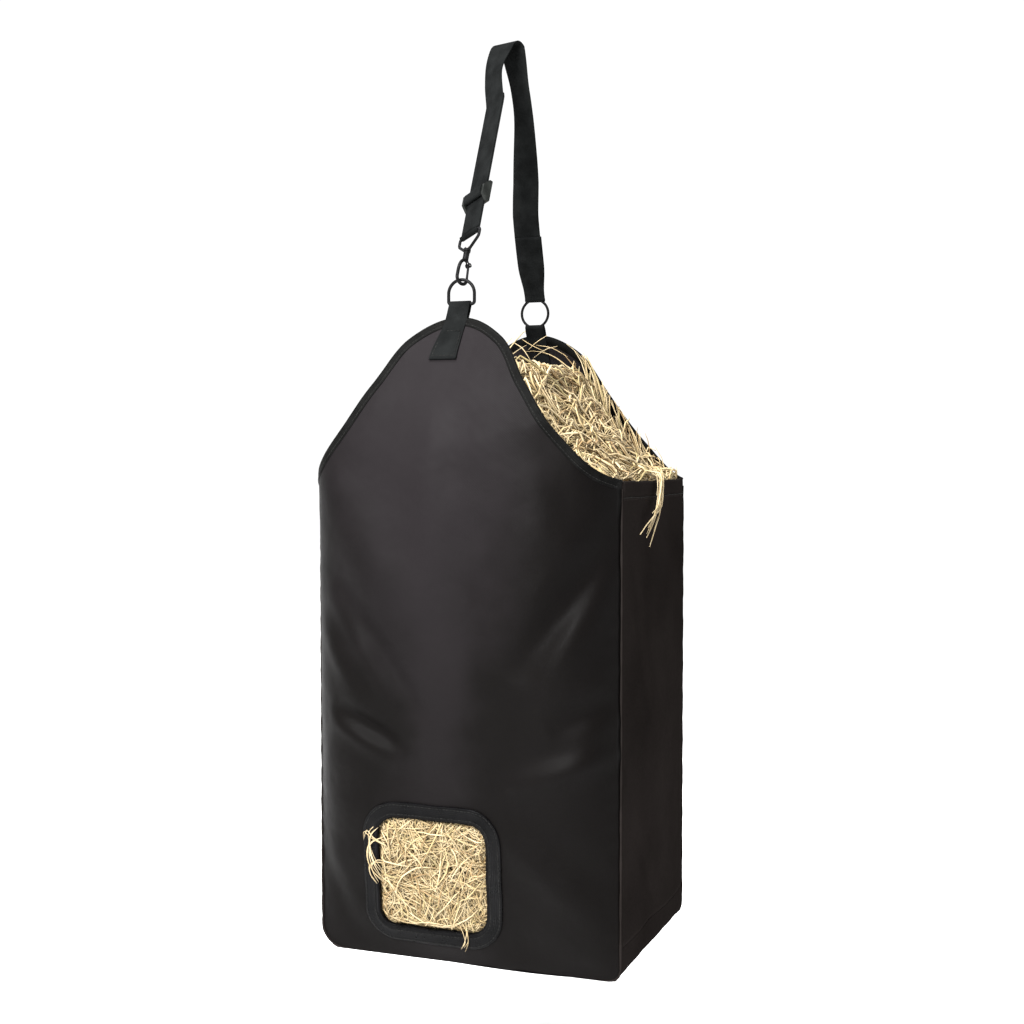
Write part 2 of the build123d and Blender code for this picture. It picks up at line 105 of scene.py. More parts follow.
def make_studio():
    """A white room: even light from all sides, two lamps and a white floor below the bag."""
    bpy.context.scene.view_settings.view_transform = "Standard"
    world = bpy.data.worlds.new("studio")
    bpy.context.scene.world = world
    world.use_nodes = True
    back = world.node_tree.nodes["Background"]
    back.inputs["Color"].default_value = (1.0, 1.0, 1.0, 1.0)
    back.inputs["Strength"].default_value = WORLD_STRENGTH
    for name, settings in LIGHTS.items():
        make_light(name, *settings)
    mesh = bpy.data.meshes.new("floor")
    corners = [(x * FLOOR_REACH, y * FLOOR_REACH, FLOOR_Z)
               for x, y in ((-1, -1), (1, -1), (1, 1), (-1, 1))]
    mesh.from_pydata(corners, [], [(0, 1, 2, 3)])
    material = bpy.data.materials.new("floor_paint")
    material.use_nodes = True
    shader = material.node_tree.nodes["Principled BSDF"]
    shader.inputs["Base Color"].default_value = (FLOOR_GREY, FLOOR_GREY, FLOOR_GREY, 1.0)
    shader.inputs["Roughness"].default_value = 0.8
    mesh.materials.append(material)
    place_object("floor", mesh)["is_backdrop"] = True


# ---------- materials
class Tree:
    """Short names for building a node material."""

    def __init__(self, name):
        self.material = bpy.data.materials.new(name)
        self.material.use_nodes = True
        self.nodes = self.material.node_tree.nodes
        self.links = self.material.node_tree.links
        self.shader = self.nodes["Principled BSDF"]
        self.place = self.add("TexCoord").outputs["Object"]

    def add(self, kind, inputs=None, **settings):
        node = self.nodes.new("ShaderNode" + kind)
        for key, value in settings.items():
            setattr(node, key, value)
        for key, value in (inputs or {}).items():
            self.feed(node.inputs[key], value)
        return node

    def feed(self, socket, value):
        if isinstance(value, bpy.types.NodeSocket):
            self.links.new(value, socket)
        else:
            socket.default_value = value

    def math(self, operation, *values):
        return self.add("Math", dict(enumerate(values)), operation=operation).outputs[0]

    def plus(self, a, b):
        return self.math("ADD", a, b)

    def times(self, a, b):
        return self.math("MULTIPLY", a, b)

    def ramp(self, value, stops):
        node = self.add("ValToRGB", {"Fac": value})
        for element, (place, colour) in zip(node.color_ramp.elements, stops):
            element.position = place
            element.color = (*colour, 1.0)
        return node.outputs["Color"]

    def noise(self, scale, detail):
        inputs = {"Scale": scale, "Detail": detail, "Vector": self.place}
        return self.add("TexNoise", inputs).outputs["Fac"]

    def span(self, value, target, source=(0.0, 1.0), kind="LINEAR"):
        """A number that runs over target as value runs over source."""
        inputs = {"Value": value, "From Min": source[0], "From Max": source[1],
                  "To Min": target[0], "To Max": target[1]}
        return self.add("MapRange", inputs, interpolation_type=kind).outputs["Result"]

    def flat(self):
        """The cut cloth's own coordinates in millimetres, across and along."""
        split = self.add("SeparateXYZ", {"Vector": self.add("UVMap", uv_map="cut").outputs["UV"]})
        return [self.times(split.outputs[i], 1 / MM) for i in (0, 1)]

    def finish(self, colour, roughness, height, distance, strength, gloss, metallic=0.0):
        """Sets the surface. distance is the bump's depth in metres, gloss the specular level."""
        bump = self.add("Bump", {"Height": height, "Distance": distance, "Strength": strength})
        for key, value in {"Base Color": colour, "Roughness": roughness, "Metallic": metallic,
                           "Specular IOR Level": gloss, "Normal": bump.outputs["Normal"]}.items():
            self.feed(self.shader.inputs[key], value)
        return self.material


def plain_weave(tree, pitch):
    """Height of a plain weave whose threads are pitch millimetres apart."""
    warp, weft = (tree.math("SINE", tree.times(way, math.pi / pitch)) for way in tree.flat())
    ribs = tree.plus(tree.math("ABSOLUTE", warp), tree.math("ABSOLUTE", weft))
    return tree.plus(tree.times(warp, weft), tree.times(ribs, 0.5))


def painted_highlight_mask(tree):
    """1 where a panel's colour is painted paler as a painted highlight, where the light catches it: the
    middle of the ear, narrowing down the front.
    """
    u, v = tree.flat()
    drift = tree.times(tree.math("SUBTRACT", tree.noise(9.0, 3.0), 0.5), 160.0)
    off_middle = tree.math("ABSOLUTE", tree.plus(tree.plus(u, 24.0), drift))
    reach = tree.span(v, (62.0, 185.0), (280.0, 640.0))
    across = tree.span(tree.math("DIVIDE", off_middle, reach), (1.0, 0.0), (0.1, 1.2), "SMOOTHSTEP")
    return tree.times(across, tree.span(v, (0.30, 1.0), (120.0, 560.0), "SMOOTHSTEP"))


def cloth_material(name, dark, light, roughness, gloss, painted_highlight=False):
    """Woven cloth with a coating: slightly mottled, creased and dull. Optionally its colour carries a
    painted highlight, paler in the middle of the ear.
    """
    tree = Tree(name)
    mix = tree.plus(tree.times(tree.noise(5.0, 4.0), 0.75), tree.times(tree.noise(420.0, 2.0), 0.25))
    # Painted highlight: the colour is made paler in the middle of the ear, with random uneven tone
    # mixed in.
    if painted_highlight:
        uneven = tree.times(tree.math("SUBTRACT", mix, 0.5), 0.5)
        colour = tree.ramp(tree.plus(painted_highlight_mask(tree), uneven), [(0.0, dark), (1.0, light)])
    else:
        colour = tree.ramp(mix, [(0.35, dark), (0.65, light)])
    crumple = tree.times(tree.noise(55.0, 4.0), 1.5)
    height = tree.plus(tree.times(plain_weave(tree, 0.9), 0.25), crumple)
    rough = tree.span(tree.noise(30.0, 3.0), (roughness - 0.06, roughness + 0.08))
    return tree.finish(colour, rough, height, 0.0005, 0.7, gloss)


def tape_material(name, dark, light, roughness, rib, gloss):
    """Grosgrain tape or webbing: ribs across it, rib millimetres apart, and lengthwise cords."""
    tree = Tree(name)
    u, v = tree.flat()
    ribs = tree.math("SINE", tree.times(v, 2 * math.pi / rib))
    cords = tree.math("SINE", tree.times(u, 2 * math.pi / 2.2))
    height = tree.plus(tree.times(tree.times(ribs, cords), 0.5), tree.times(ribs, 0.4))
    wear = tree.noise(60.0, 4.0)
    # Painted shade of the ribs: rib crests are coloured lighter and the hollows between them darker;
    # wear adds random tone.
    colour = tree.ramp(tree.plus(tree.times(height, 0.12), wear), [(0.3, dark), (0.7, light)])
    rough = tree.span(wear, (roughness - 0.08, roughness + 0.1))
    return tree.finish(colour, rough, height, 0.0003, 0.8, gloss)


def thread_material():
    tree = Tree("sewing_thread")
    inputs = {"Vector": tree.place, "Scale": 900.0, "Distortion": 1.0}
    twist = tree.add("TexWave", inputs).outputs["Fac"]
    shades = [(0.3, (0.005, 0.005, 0.005)), (0.7, (0.014, 0.014, 0.013))]
    return tree.finish(tree.ramp(tree.noise(200.0, 2.0), shades), 0.55, twist, 0.0002, 0.6, 0.03)


def wire_material(name, dark, light, metallic, roughness, gloss):
    tree = Tree(name)
    colour = tree.ramp(tree.noise(140.0, 5.0), [(0.42, dark), (0.68, light)])
    rough = tree.span(tree.noise(300.0, 3.0), (roughness - 0.08, roughness + 0.14))
    return tree.finish(colour, rough, tree.noise(700.0, 3.0), 0.0001, 0.35, gloss, metallic)


def plastic_material():
    tree = Tree("moulded_plastic")
    shades = [(0.35, (0.003, 0.0035, 0.003)), (0.7, (0.008, 0.009, 0.008))]
    grain = tree.add("TexVoronoi", {"Vector": tree.place, "Scale": 1800.0}).outputs["Distance"]
    rough = tree.span(tree.noise(50.0, 3.0), (0.28, 0.42))
    return tree.finish(tree.ramp(tree.noise(90.0, 3.0), shades), rough, grain, 0.00015, 0.4, 0.12)


def straw_material(name, dark, light):
    tree = Tree(name)
    colour = tree.ramp(tree.noise(70.0, 4.0), [(0.3, dark), (0.7, light)])
    streak = tree.noise(900.0, 2.0)
    return tree.finish(colour, tree.span(streak, (0.45, 0.65)), streak, 0.0003, 0.6, 0.35)


# Straw colours, dark and light, in the order that strands pick them by.
STRAW = [
    ("straw_pale", (0.30, 0.225, 0.118), (0.385, 0.312, 0.188)),
    ("straw_gold", (0.26, 0.187, 0.086), (0.335, 0.256, 0.135)),
    ("straw_green", (0.205, 0.160, 0.069), (0.275, 0.222, 0.106)),
    ("straw_brown", (0.140, 0.088, 0.033), (0.225, 0.149, 0.066)),
]
MATERIALS = {
    # The front and back panels' cloth carries a painted highlight in the middle of the ear.
    "cloth": cloth_material("oxford_cloth_coated_painted_highlight", (0.0019, 0.0016, 0.0015),
                            (0.0068, 0.0058, 0.0063), 0.38, 0.022, painted_highlight=True),
    "side_cloth": cloth_material("oxford_cloth_plain", (0.0060, 0.0050, 0.0046),
                                 (0.0110, 0.0092, 0.0086), 0.6, 0.0),
    "tape": tape_material("binding_tape_glossy", (0.0007, 0.0007, 0.0008),
                          (0.0020, 0.0019, 0.0021), 0.28, 1.2, 0.035),
    "edge_tape": tape_material("binding_tape_mouth", (0.0012, 0.0012, 0.0011),
                               (0.0032, 0.0032, 0.0030), 0.42, 1.4, 0.018),
    "webbing": tape_material("webbing_polyester", (0.0026, 0.0028, 0.0028),
                             (0.0056, 0.0060, 0.0060), 0.55, 1.6, 0.006),
    "thread": thread_material(),
    "wire": wire_material("black_wire", (0.0025, 0.0025, 0.0025),
                          (0.006, 0.006, 0.0065), 0.0, 0.30, 0.03),
    "steel": wire_material("plated_steel", (0.20, 0.19, 0.18), (0.52, 0.51, 0.50), 1.0, 0.34, 0.5),
    "plastic": plastic_material(),
    "hay_core": straw_material("hay_shadow", (0.020, 0.012, 0.005), (0.065, 0.042, 0.018)),
}
MATERIALS.update({name: straw_material(name, dark, light) for name, dark, light in STRAW})


def dress_cad():
    """Better finishes on the CAD pieces whose shape is right."""
    finish = {"wire": ("front_d_ring", "back_o_ring", "snap_hook", "snap_gate", "snap_eye"),
              "steel": ("snap_swivel_pin", "gate_pin", "gate_spring"),
              "plastic": ("slider_frame",), "webbing": ("slider_webbing_end",)}
    for key, nodes in finish.items():
        for node in nodes:
            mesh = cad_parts[node].data
            mesh.materials.clear()
            mesh.materials.append(MATERIALS[key])


# ---------- lines and meshes
def unit(v):
    return v / np.maximum(np.linalg.norm(v, axis=-1, keepdims=True), 1e-9)


def smooth_step(t):
    t = np.clip(t, 0, 1)
    return t * t * (3 - 2 * t)


def travelled(line):
    """Length along a line from its first point to each point."""
    return np.concatenate([[0], np.cumsum(np.linalg.norm(np.diff(line, axis=0), axis=1))])


def evenly(line, count):
    """count points along a line, evenly spaced by length."""
    gone = travelled(line)
    even = np.linspace(0, gone[-1], count)
    return np.stack([np.interp(even, gone, line[:, k]) for k in range(line.shape[1])], axis=1)


def hermite(t, width, first, last, first_slope, last_slope):
    return ((1 + 2 * t) * (1 - t) ** 2 * first + t * (1 - t) ** 2 * width * first_slope
            + t * t * (3 - 2 * t) * last + t * t * (t - 1) * width * last_slope)


def curve(rows):
    """Smooth function through rows of (place, value)."""
    x, y = np.array(rows, float).T
    slope = np.gradient(y, x)

    def at(v):
        v = np.clip(v, x[0], x[-1])
        i = np.clip(np.searchsorted(x, v, "right") - 1, 0, len(x) - 2)
        width = x[i + 1] - x[i]
        return hermite((v - x[i]) / width, width, y[i], y[i + 1], slope[i], slope[i + 1])
    return at


def spline(points, count, start=None, end=None):
    """count points along a smooth line through a few points. start and end are end slopes."""
    points = np.array(points, float)
    steps = travelled(points)
    fine = np.linspace(0, steps[-1], 40 * len(points))
    slopes = np.gradient(points, steps, axis=0)
    if start is not None:
        slopes[0] = start
    if end is not None:
        slopes[-1] = end
    i = np.clip(np.searchsorted(steps, fine, "right") - 1, 0, len(points) - 2)
    width = (steps[i + 1] - steps[i])[:, None]
    t = (fine[:, None] - steps[i][:, None]) / width
    return evenly(hermite(t, width, points[i], points[i + 1], slopes[i], slopes[i + 1]), count)


def add_mesh(name, points, faces, materials, uv=None, picks=None):
    """A mesh object from points in millimetres, with cut coordinates in metres for its weave."""
    mesh = bpy.data.meshes.new(name)
    points = np.asarray(points, float).reshape(-1, 3) * MM
    mesh.from_pydata(points.tolist(), [], [tuple(map(int, f)) for f in faces])
    mesh.update()
    if uv is not None:
        flat = np.asarray(uv, float).reshape(-1, 2) * MM
        corners = np.empty(len(mesh.loops), int)
        mesh.loops.foreach_get("vertex_index", corners)
        mesh.uv_layers.new(name="cut").data.foreach_set("uv", flat[corners].ravel())
    for material in materials:
        mesh.materials.append(material)
    if picks is not None:
        mesh.polygons.foreach_set("material_index", np.asarray(picks, np.int32))
    mesh.polygons.foreach_set("use_smooth", np.full(len(mesh.polygons), True))
    return place_object(name, mesh)


def settle_normals(obj, merge=0.0):
    """Turns all faces outwards, after joining points closer than merge metres."""
    bm = bmesh.new()
    bm.from_mesh(obj.data)
    if merge:
        bmesh.ops.remove_doubles(bm, verts=bm.verts, dist=merge)
        loose = [v for v in bm.verts if not v.link_faces]
        bmesh.ops.delete(bm, geom=loose, context="VERTS")
    bmesh.ops.recalc_face_normals(bm, faces=bm.faces)
    bm.to_mesh(obj.data)
    bm.free()


def grid_faces(rows, columns, wrap=False, start=0, close=False):
    """Quads of a grid of points stored row by row. wrap joins the last column to the first, and
    close the last row to the first."""
    faces = []
    for i in range(rows if close else rows - 1):
        below = start + (i % rows) * columns
        above = start + ((i + 1) % rows) * columns
        for j in range(columns if wrap else columns - 1):
            k = (j + 1) % columns
            faces.append((below + j, below + k, above + k, above + j))
    return faces


def end_caps(rows, columns, start=0):
    """The first and last row of such a grid as faces that close its ends."""
    last = start + (rows - 1) * columns
    return [tuple(range(start, start + columns))[::-1], tuple(range(last, last + columns))]


def cut_grid(across, along):
    """Cut coordinates for a grid of points: across within a row, along from row to row."""
    return np.stack(np.broadcast_arrays(np.asarray(across)[None, :], np.asarray(along)[:, None]), -1)


def tube(name, rows, uv, material, body, node=None, closed=False):
    """A piece swept through rows of points, with capped ends unless its rows close a loop."""
    rows = np.array(rows)
    count, columns = rows.shape[:2]
    faces = grid_faces(count, columns, wrap=True, close=closed)
    if not closed:
        faces += end_caps(count, columns)
    obj = add_mesh(name, rows, faces, [material], uv)
    settle_normals(obj)
    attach(obj, body)
    if node:
        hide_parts(node)


def sheet(name, outer, inner, uv, side, material, node, keep=None, merge=0.0):
    """Cloth with real thickness between two grids of points, with a quad wherever keep is true."""
    rows, n = outer.shape[:2]
    count = rows * n
    faces, edges = [], {}
    for i, j in zip(*np.nonzero(np.ones((rows - 1, n - 1)) if keep is None else keep)):
        a = i * n + j
        quad = (a, a + 1, a + n + 1, a + n)[::-side]
        faces += [quad, tuple(q + count for q in quad[::-1])]
        for p, q in zip(quad, quad[1:] + quad[:1]):
            if (q, p) in edges:
                del edges[q, p]
            else:
                edges[p, q] = True
    faces += [(q, p, p + count, q + count) for p, q in edges]
    points = np.concatenate([outer.reshape(-1, 3), inner.reshape(-1, 3)])
    obj = add_mesh(name, points, faces, [material], np.concatenate([uv.reshape(-1, 2)] * 2))
    settle_normals(obj, merge)
    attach(obj, "bag")
    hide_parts(node)
    return obj


# ---------- shape of the bag's cloth
# By height, Y of each panel's middle and how much less its side edges stand out. The power says
# how late across the panel they drop back.
FRONT_LINE = curve([(-2, -138.5), (60, -155), (150, -176), (290, -198), (440, -211.5), (575, -215),
                    (622, -211.5), (663, -202), (712, -181), (790, -142.8)])
FRONT_SWELL = curve([(-2, 1.0), (60, 17.5), (150, 38.5), (290, 60.5), (440, 74), (575, 77.5),
                     (790, 77.5)])
FRONT_POWER = 6.0
BACK_LINE = curve([(-2, 138.5), (60, 146.5), (200, 153.5), (400, 156), (575, 156), (625, 147),
                   (690, 126), (790, 94.7)])
BACK_SWELL = curve([(-2, 1.0), (60, 9), (200, 16), (400, 18.5), (790, 18.5)])
BACK_POWER = 2.6
EAR = spline([(HALF_WIDTH, SIDE_HEIGHT), (138, 617), (92, 681), (56, 734), (0, EAR_HEIGHT)], 61,
             start=(-0.93, 0.36), end=(-1.1, 0.0))

# Folds: start and end (x or y, height), width, depth (negative for a ridge), share of its lip.
FRONT_FOLDS = [((190, 512), (98, 366), 19, 15.0, 0.25), ((60, 560), (30, 420), 26, 4.0, 0.3),
               ((-168, 596), (-52, 428), 34, -7.0, 0.3), ((-10, 640), (-14, 430), 20, -4.0, 0.4),
               ((84, 226), (182, 262), 15, -9.0, 0.2), ((196, 330), (130, 296), 16, 8.0, 0.2),
               ((-58, 264), (-136, 304), 12, 8.0, 0.6), ((-34, 312), (-122, 446), 15, 8.0, 0.4),
               ((-160, 400), (-110, 320), 15, -4.0, 0.5), ((126, 620), (150, 520), 24, 7.0, 0.2),
               ((60, 170), (176, 60), 22, -5.0, 0.6), ((-185, 120), (-140, 30), 14, 2.5, 0.5)]
BACK_FOLDS = [((-120, 560), (-60, 380), 18, 6.0), ((130, 520), (60, 330), 16, 6.0),
              ((-150, 250), (-60, 190), 12, 4.0), ((150, 180), (40, 120), 14, 4.0),
              ((0, 690), (-20, 480), 20, 3.0)]
SIDE_FOLDS = [((-100, 470), (-40, 300), 13, 3.5), ((90, 420), (30, 200), 15, 3.0),
              ((-90, 160), (0, 60), 13, 3.0)]


def ripple(a, b, size, seed, waves=7):
    """Smooth seeded unevenness of about one unit, with waves about size millimetres long."""
    rng = np.random.default_rng(seed)
    total = np.zeros(np.broadcast(a, b).shape)
    for _ in range(waves):
        angle, phase = rng.uniform(0, 2 * np.pi), rng.uniform(0, 2 * np.pi)
        pace = rng.uniform(0.7, 1.4)
        along = a * np.cos(angle) + b * np.sin(angle)
        total = total + np.sin(along * 2 * np.pi * pace / size + phase)
    return total / math.sqrt(waves)


def crease(a, b, start, end, width, depth, lip=0.5):
    """A soft fold along a line: a valley of that depth with a lower ridge beside it."""
    start, end = np.array(start, float), np.array(end, float)
    way = end - start
    length = np.linalg.norm(way)
    way = way / length
    s = (a - start[0]) * way[0] + (b - start[1]) * way[1]
    d = -(a - start[0]) * way[1] + (b - start[1]) * way[0]
    past = np.maximum(np.maximum(-s, s - length), 0) / (0.3 * length)
    inside = np.sin(np.pi * np.clip((s + 0.15 * length) / (1.3 * length), 0, 1)) ** 0.7
    valley = np.exp(-(d / width) ** 2)
    ridge = np.exp(-((d - 1.6 * width) / width) ** 2)
    return np.exp(-past ** 2) * inside * (-depth * valley + lip * depth * ridge)


def creases(a, b, folds):
    return sum(crease(a, b, *fold) for fold in folds)


def near_seam(x, h):
    """1 at a side or base seam, fading to 0 within a few centimetres of it."""
    side = np.exp(-((HALF_WIDTH - np.abs(x)) / 16.0) ** 2) * (h < SIDE_HEIGHT + 30)
    return np.maximum(side, np.exp(-(h / 14.0) ** 2))


def calmed(x, h):
    """1 in the open cloth, less near a seam and 0 at the base, where the cloth is held flat."""
    return (1 - 0.75 * near_seam(x, h)) * smooth_step(h / 24.0)


def front_relief(x, h):
    """How far the front's folds, waves and seam puckers stand proud of its smooth shape."""
    waves = 2.0 * ripple(x, h, 190, 3) + 0.5 * ripple(x, h, 62, 5) + 0.10 * ripple(x, h, 17, 8, 9)
    pucker = 0.5 * near_seam(x, h) * np.sin(h / 4.6 + 2.0 * np.sin(h / 31.0))
    pucker = pucker * np.exp(-((HALF_WIDTH - np.abs(x) - 7) / 7.0) ** 2)
    return calmed(x, h) * (creases(x, h, FRONT_FOLDS) + waves) + pucker


def back_relief(x, h):
    waves = 2.2 * ripple(x, h, 170, 23) + 0.5 * ripple(x, h, 60, 25) + 0.10 * ripple(x, h, 17, 28, 9)
    return calmed(x, h) * (creases(x, h, BACK_FOLDS) + waves)


def side_relief(y, h, side):
    """How far a gusset stands out: it bows between its seams, with soft upright folds."""
    share = np.clip(1 - (y / HALF_DEPTH) ** 2, 0, 1)
    rise = np.clip(h / 60.0, 0, 1) * np.clip((SIDE_HEIGHT + 20 - h) / 120.0, 0.25, 1)
    waves = 1.1 * ripple(y, h / 2.2, 150, 40 + side) + 0.35 * ripple(y, h / 2.0, 60, 45 + side)
    bow = 4.0 * rise + 0.6 * creases(y, h, SIDE_FOLDS) + waves
    return share ** 0.6 * bow + 0.08 * ripple(y, h, 16, 50 + side, 9)


def panel_y(x, h, side):
    """Y of the outer face of the front or back panel."""
    s = np.clip(np.abs(x) / HALF_WIDTH, 0, 1.05)
    if side < 0:
        return FRONT_LINE(h) + FRONT_SWELL(h) * s ** FRONT_POWER - front_relief(x, h)
    return BACK_LINE(h) - BACK_SWELL(h) * s ** BACK_POWER + back_relief(x, h)


def panel(x, h, side, proud=0.0):
    """Points on a panel, moved out along its normal by proud."""
    x, h, proud = np.broadcast_arrays(*(np.asarray(v, float) for v in (x, h, proud)))
    step = 1.5
    slope_x = (panel_y(x + step, h, side) - panel_y(x - step, h, side)) / (2 * step)
    slope_h = (panel_y(x, h + step, side) - panel_y(x, h - step, side)) / (2 * step)
    normal = unit(np.stack([-slope_x * side, np.full(x.shape, float(side)), -slope_h * side], axis=-1))
    return np.stack([x, panel_y(x, h, side), h - HANG_HEIGHT], axis=-1) + normal * proud[..., None]


def outline_half(side):
    """Right or left half of a panel's edge from the middle of the base to the top of the ear."""
    r = CORNER[side]
    turn = np.linspace(0, np.pi / 2, 9)
    corner = np.stack([HALF_WIDTH - r + r * np.sin(turn), r - r * np.cos(turn)], axis=1)
    upright = np.arange(corner[-1, 1] + 6, SIDE_HEIGHT - 3, 6.0)
    straight = np.stack([np.full(len(upright), HALF_WIDTH), upright], axis=1)
    return np.concatenate([corner, straight, EAR]) * np.array([side, 1.0])


def half_width(h, side):
    """Half the width of a panel at a height."""
    half = outline_half(side)
    return np.interp(h, half[:, 1], np.abs(half[:, 0]))


def outward_of(line, middle):
    """Directions square to a line of (x, height) that point away from middle."""
    way = unit(np.gradient(line, axis=0))
    out = np.stack([way[:, 1], -way[:, 0]], axis=1)
    return out * np.sign((out * (line - np.array(middle))).sum(axis=1))[:, None]


def window_distance(x, h):
    """Distance outwards from the window's cut edge, negative inside the hole."""
    cx, ch, half, r = WINDOW
    dx, dh = np.abs(x - cx - WINDOW_LEAN * (h - ch)) - (half - r), np.abs(h - ch) - (half - r)
    return np.hypot(np.maximum(dx, 0), np.maximum(dh, 0)) + np.minimum(np.maximum(dx, dh), 0) - r


def window_line(distance, count):
    """Points round the feed window, a distance outside its cut edge."""
    cx, ch, half, r = WINDOW
    flat, r = half - r, r + distance
    rows = []
    for corner, (sx, sh) in enumerate(((1, -1), (1, 1), (-1, 1), (-1, -1))):
        for turn in np.linspace(0, np.pi / 2, 12):
            angle = -np.pi / 2 + corner * np.pi / 2 + turn
            rows.append((cx + sx * flat + r * math.cos(angle), ch + sh * flat + r * math.sin(angle)))
    rows = np.array(rows + rows[:1])
    rows[:, 0] += WINDOW_LEAN * (rows[:, 1] - ch)
    return evenly(rows, count + 1)[:-1]


def make_panel(name, side, material, node, hole=False):
    """The front or back panel as one sheet of cloth. hole cuts the window, a little large, because
    its binding covers the edge."""
    low = 32
    heights = np.unique(np.round(np.concatenate([
        np.linspace(0, 1, 7)[:-1] ** 1.6 * low, np.arange(low, SIDE_HEIGHT, 4.6), EAR[:, 1]]), 3))
    u, h = np.meshgrid(np.linspace(-1, 1, 97), heights)
    x = np.where(u < 0, u * half_width(h, -1), u * half_width(h, 1))
    keep = None
    if hole:
        keep = window_distance((x[1:, 1:] + x[:-1, :-1]) / 2, (h[1:, 1:] + h[:-1, :-1]) / 2) > 7.0
    return sheet(name, panel(x, h, side), panel(x, h, side, -CLOTH), np.stack([x, h], -1), side,
                 material, node, keep, merge=0.00002)


def gusset_line(side, low, high):
    """Points down one side of the gusset's front view, between two heights."""
    half = outline_half(side)
    heights = half[:, 1]
    low_x, high_x = np.interp((low, high), heights, half[:, 0])
    inside = half[(heights > low + 0.5) & (heights < high - 0.5)]
    return np.concatenate([[(low_x, low)], inside, [(high_x, high)]])[::-1]


def gusset_points(line, columns, proud):
    """Grid over a strip of gusset: line points by depth, moved outwards by its own bow and proud.
    On the base the strip is a little wider and its bow is replaced by a slight ripple."""
    out = outward_of(line, (0, 250.0))
    x, h = line[:, :1], line[:, 1:]
    on_side = np.clip(h / JOIN, 0, 1)
    y = columns * (HALF_DEPTH - 0.4 + 1.1 * (1 - on_side))
    left, right = (side_relief(np.clip(y, -HALF_DEPTH, HALF_DEPTH), h, side) for side in (-1, 1))
    bow = np.where(x < 0, left, right) * on_side + (1 - on_side) * 0.2 * ripple(y, x, 60, 61)
    bow = np.where(h < 0.5, np.minimum(bow, 0.0), bow) + proud
    return np.stack([x + out[:, :1] * bow, y, h + out[:, 1:] * bow - HANG_HEIGHT], axis=-1)


def make_strip(name, line, side, material, node):
    """A stretch of gusset cloth along a line of its front view."""
    columns = np.linspace(-1, 1, 49)
    outer, inner = (gusset_points(line, columns, proud) for proud in (0.0, -CLOTH))
    uv = cut_grid(columns * HALF_DEPTH, travelled(line))
    return sheet(name, outer, inner, uv, side, material, node)


# ---------- tapes, seams and stitches
STITCH, STITCH_GAP, THREAD_RADIUS = 3.4, 1.2, 0.42
# Sections of the hem and of the tape inside a seam: rows of (outwards, up) and (outwards, inwards).
HEM = [(-0.2, -22), (0.45, -21.6), (0.7, -12), (0.7, -3), (0.4, -0.4), (-0.8, 0.5), (-2.4, -0.4),
       (-2.9, -3), (-3.0, -12), (-2.8, -21.6), (-2.0, -22)]
SEAM_TAPE = [(-CLOTH - 0.2, 0.0), (-CLOTH - 1.0, 0.5), (-CLOTH - 1.6, 6.0), (-CLOTH - 1.1, 11.0),
             (-CLOTH - 0.2, 11.5)]


def tape_section(inner, outer, thick):
    """Section of a tape folded over a cut edge, from its outer face round to its inner face."""
    return np.array([
        (outer, 0.2), (outer - 0.3, thick * 0.8), (outer - 1.2, thick), (outer * 0.72, thick * 1.15),
        (outer * 0.5, thick * 0.85), (outer * 0.25, thick * 1.25), (1.5, thick * 1.3),
        (inner + 0.6, thick * 0.9), (inner, 0.0), (inner, -CLOTH), (inner + 0.6, -CLOTH - thick * 0.9),
        (outer * 0.5, -CLOTH - thick), (outer - 0.6, -CLOTH - thick * 0.9), (outer, -CLOTH - 0.2)])


def band(name, centres, outward, section, side, material, node, closed=False):
    """Tape swept along an edge of a panel. section has rows of (distance outwards, height proud)."""
    x = centres[:, :1] + outward[:, :1] * section[:, 0]
    h = centres[:, 1:] + outward[:, 1:] * section[:, 0]
    uv = cut_grid(travelled(section), travelled(centres))
    tube(name, panel(x, h, side, section[:, 1]), uv, material, "bag", node, closed)


def stitches(name, line, material):
    """A row of sewn stitches, each a small rounded thread, along points that lie on the cloth."""
    line = np.asarray(line, float)
    gone = travelled(line)
    ring = [(math.cos(a), math.sin(a)) for a in np.linspace(0, 2 * np.pi, 6)[:-1]]
    shares = np.array([0.0, 0.12, 0.5, 0.88, 1.0])
    thick = np.array([0.45, 1.0, 1.15, 1.0, 0.45])
    points, faces = [], []
    for start in np.arange(1.0, gone[-1] - STITCH, STITCH + STITCH_GAP):
        at = start + shares * STITCH
        spots = np.stack([np.interp(at, gone, line[:, k]) for k in range(3)], axis=1)
        way = unit(spots[-1] - spots[0])
        side = unit(np.cross(way, (0.31, 0.52, 0.79)))
        rise = np.cross(way, side)
        faces += grid_faces(len(shares), len(ring), wrap=True, start=len(points))
        faces += end_caps(len(shares), len(ring), start=len(points))
        for spot, t in zip(spots, thick):
            points += [spot + THREAD_RADIUS * t * (side * c + rise * s) for c, s in ring]
    obj = add_mesh(name, points, faces, [material])
    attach(obj, "bag")


def make_window_binding(tape, thread):
    line = window_line(0.0, 160)
    way = unit(np.roll(line, -1, axis=0) - np.roll(line, 1, axis=0))
    out = np.stack([way[:, 1], -way[:, 0]], axis=1)
    wobble = 0.3 * np.sin(np.linspace(0, 2 * np.pi, len(line), endpoint=False) * 9 + 1.0)
    band("window_binding_tape", line + out * wobble[:, None], out, tape_section(-2.4, 17.0, 2.3), -1,
         tape, "window_binding", closed=True)
    for number, (distance, proud) in enumerate(((14.2, 2.6), (3.2, 3.1)), start=1):
        ring = window_line(distance, 260)
        ring = np.concatenate([ring, ring[:1]])
        stitches(f"window_stitches_{number}", panel(ring[:, 0], ring[:, 1], -1, proud), thread)


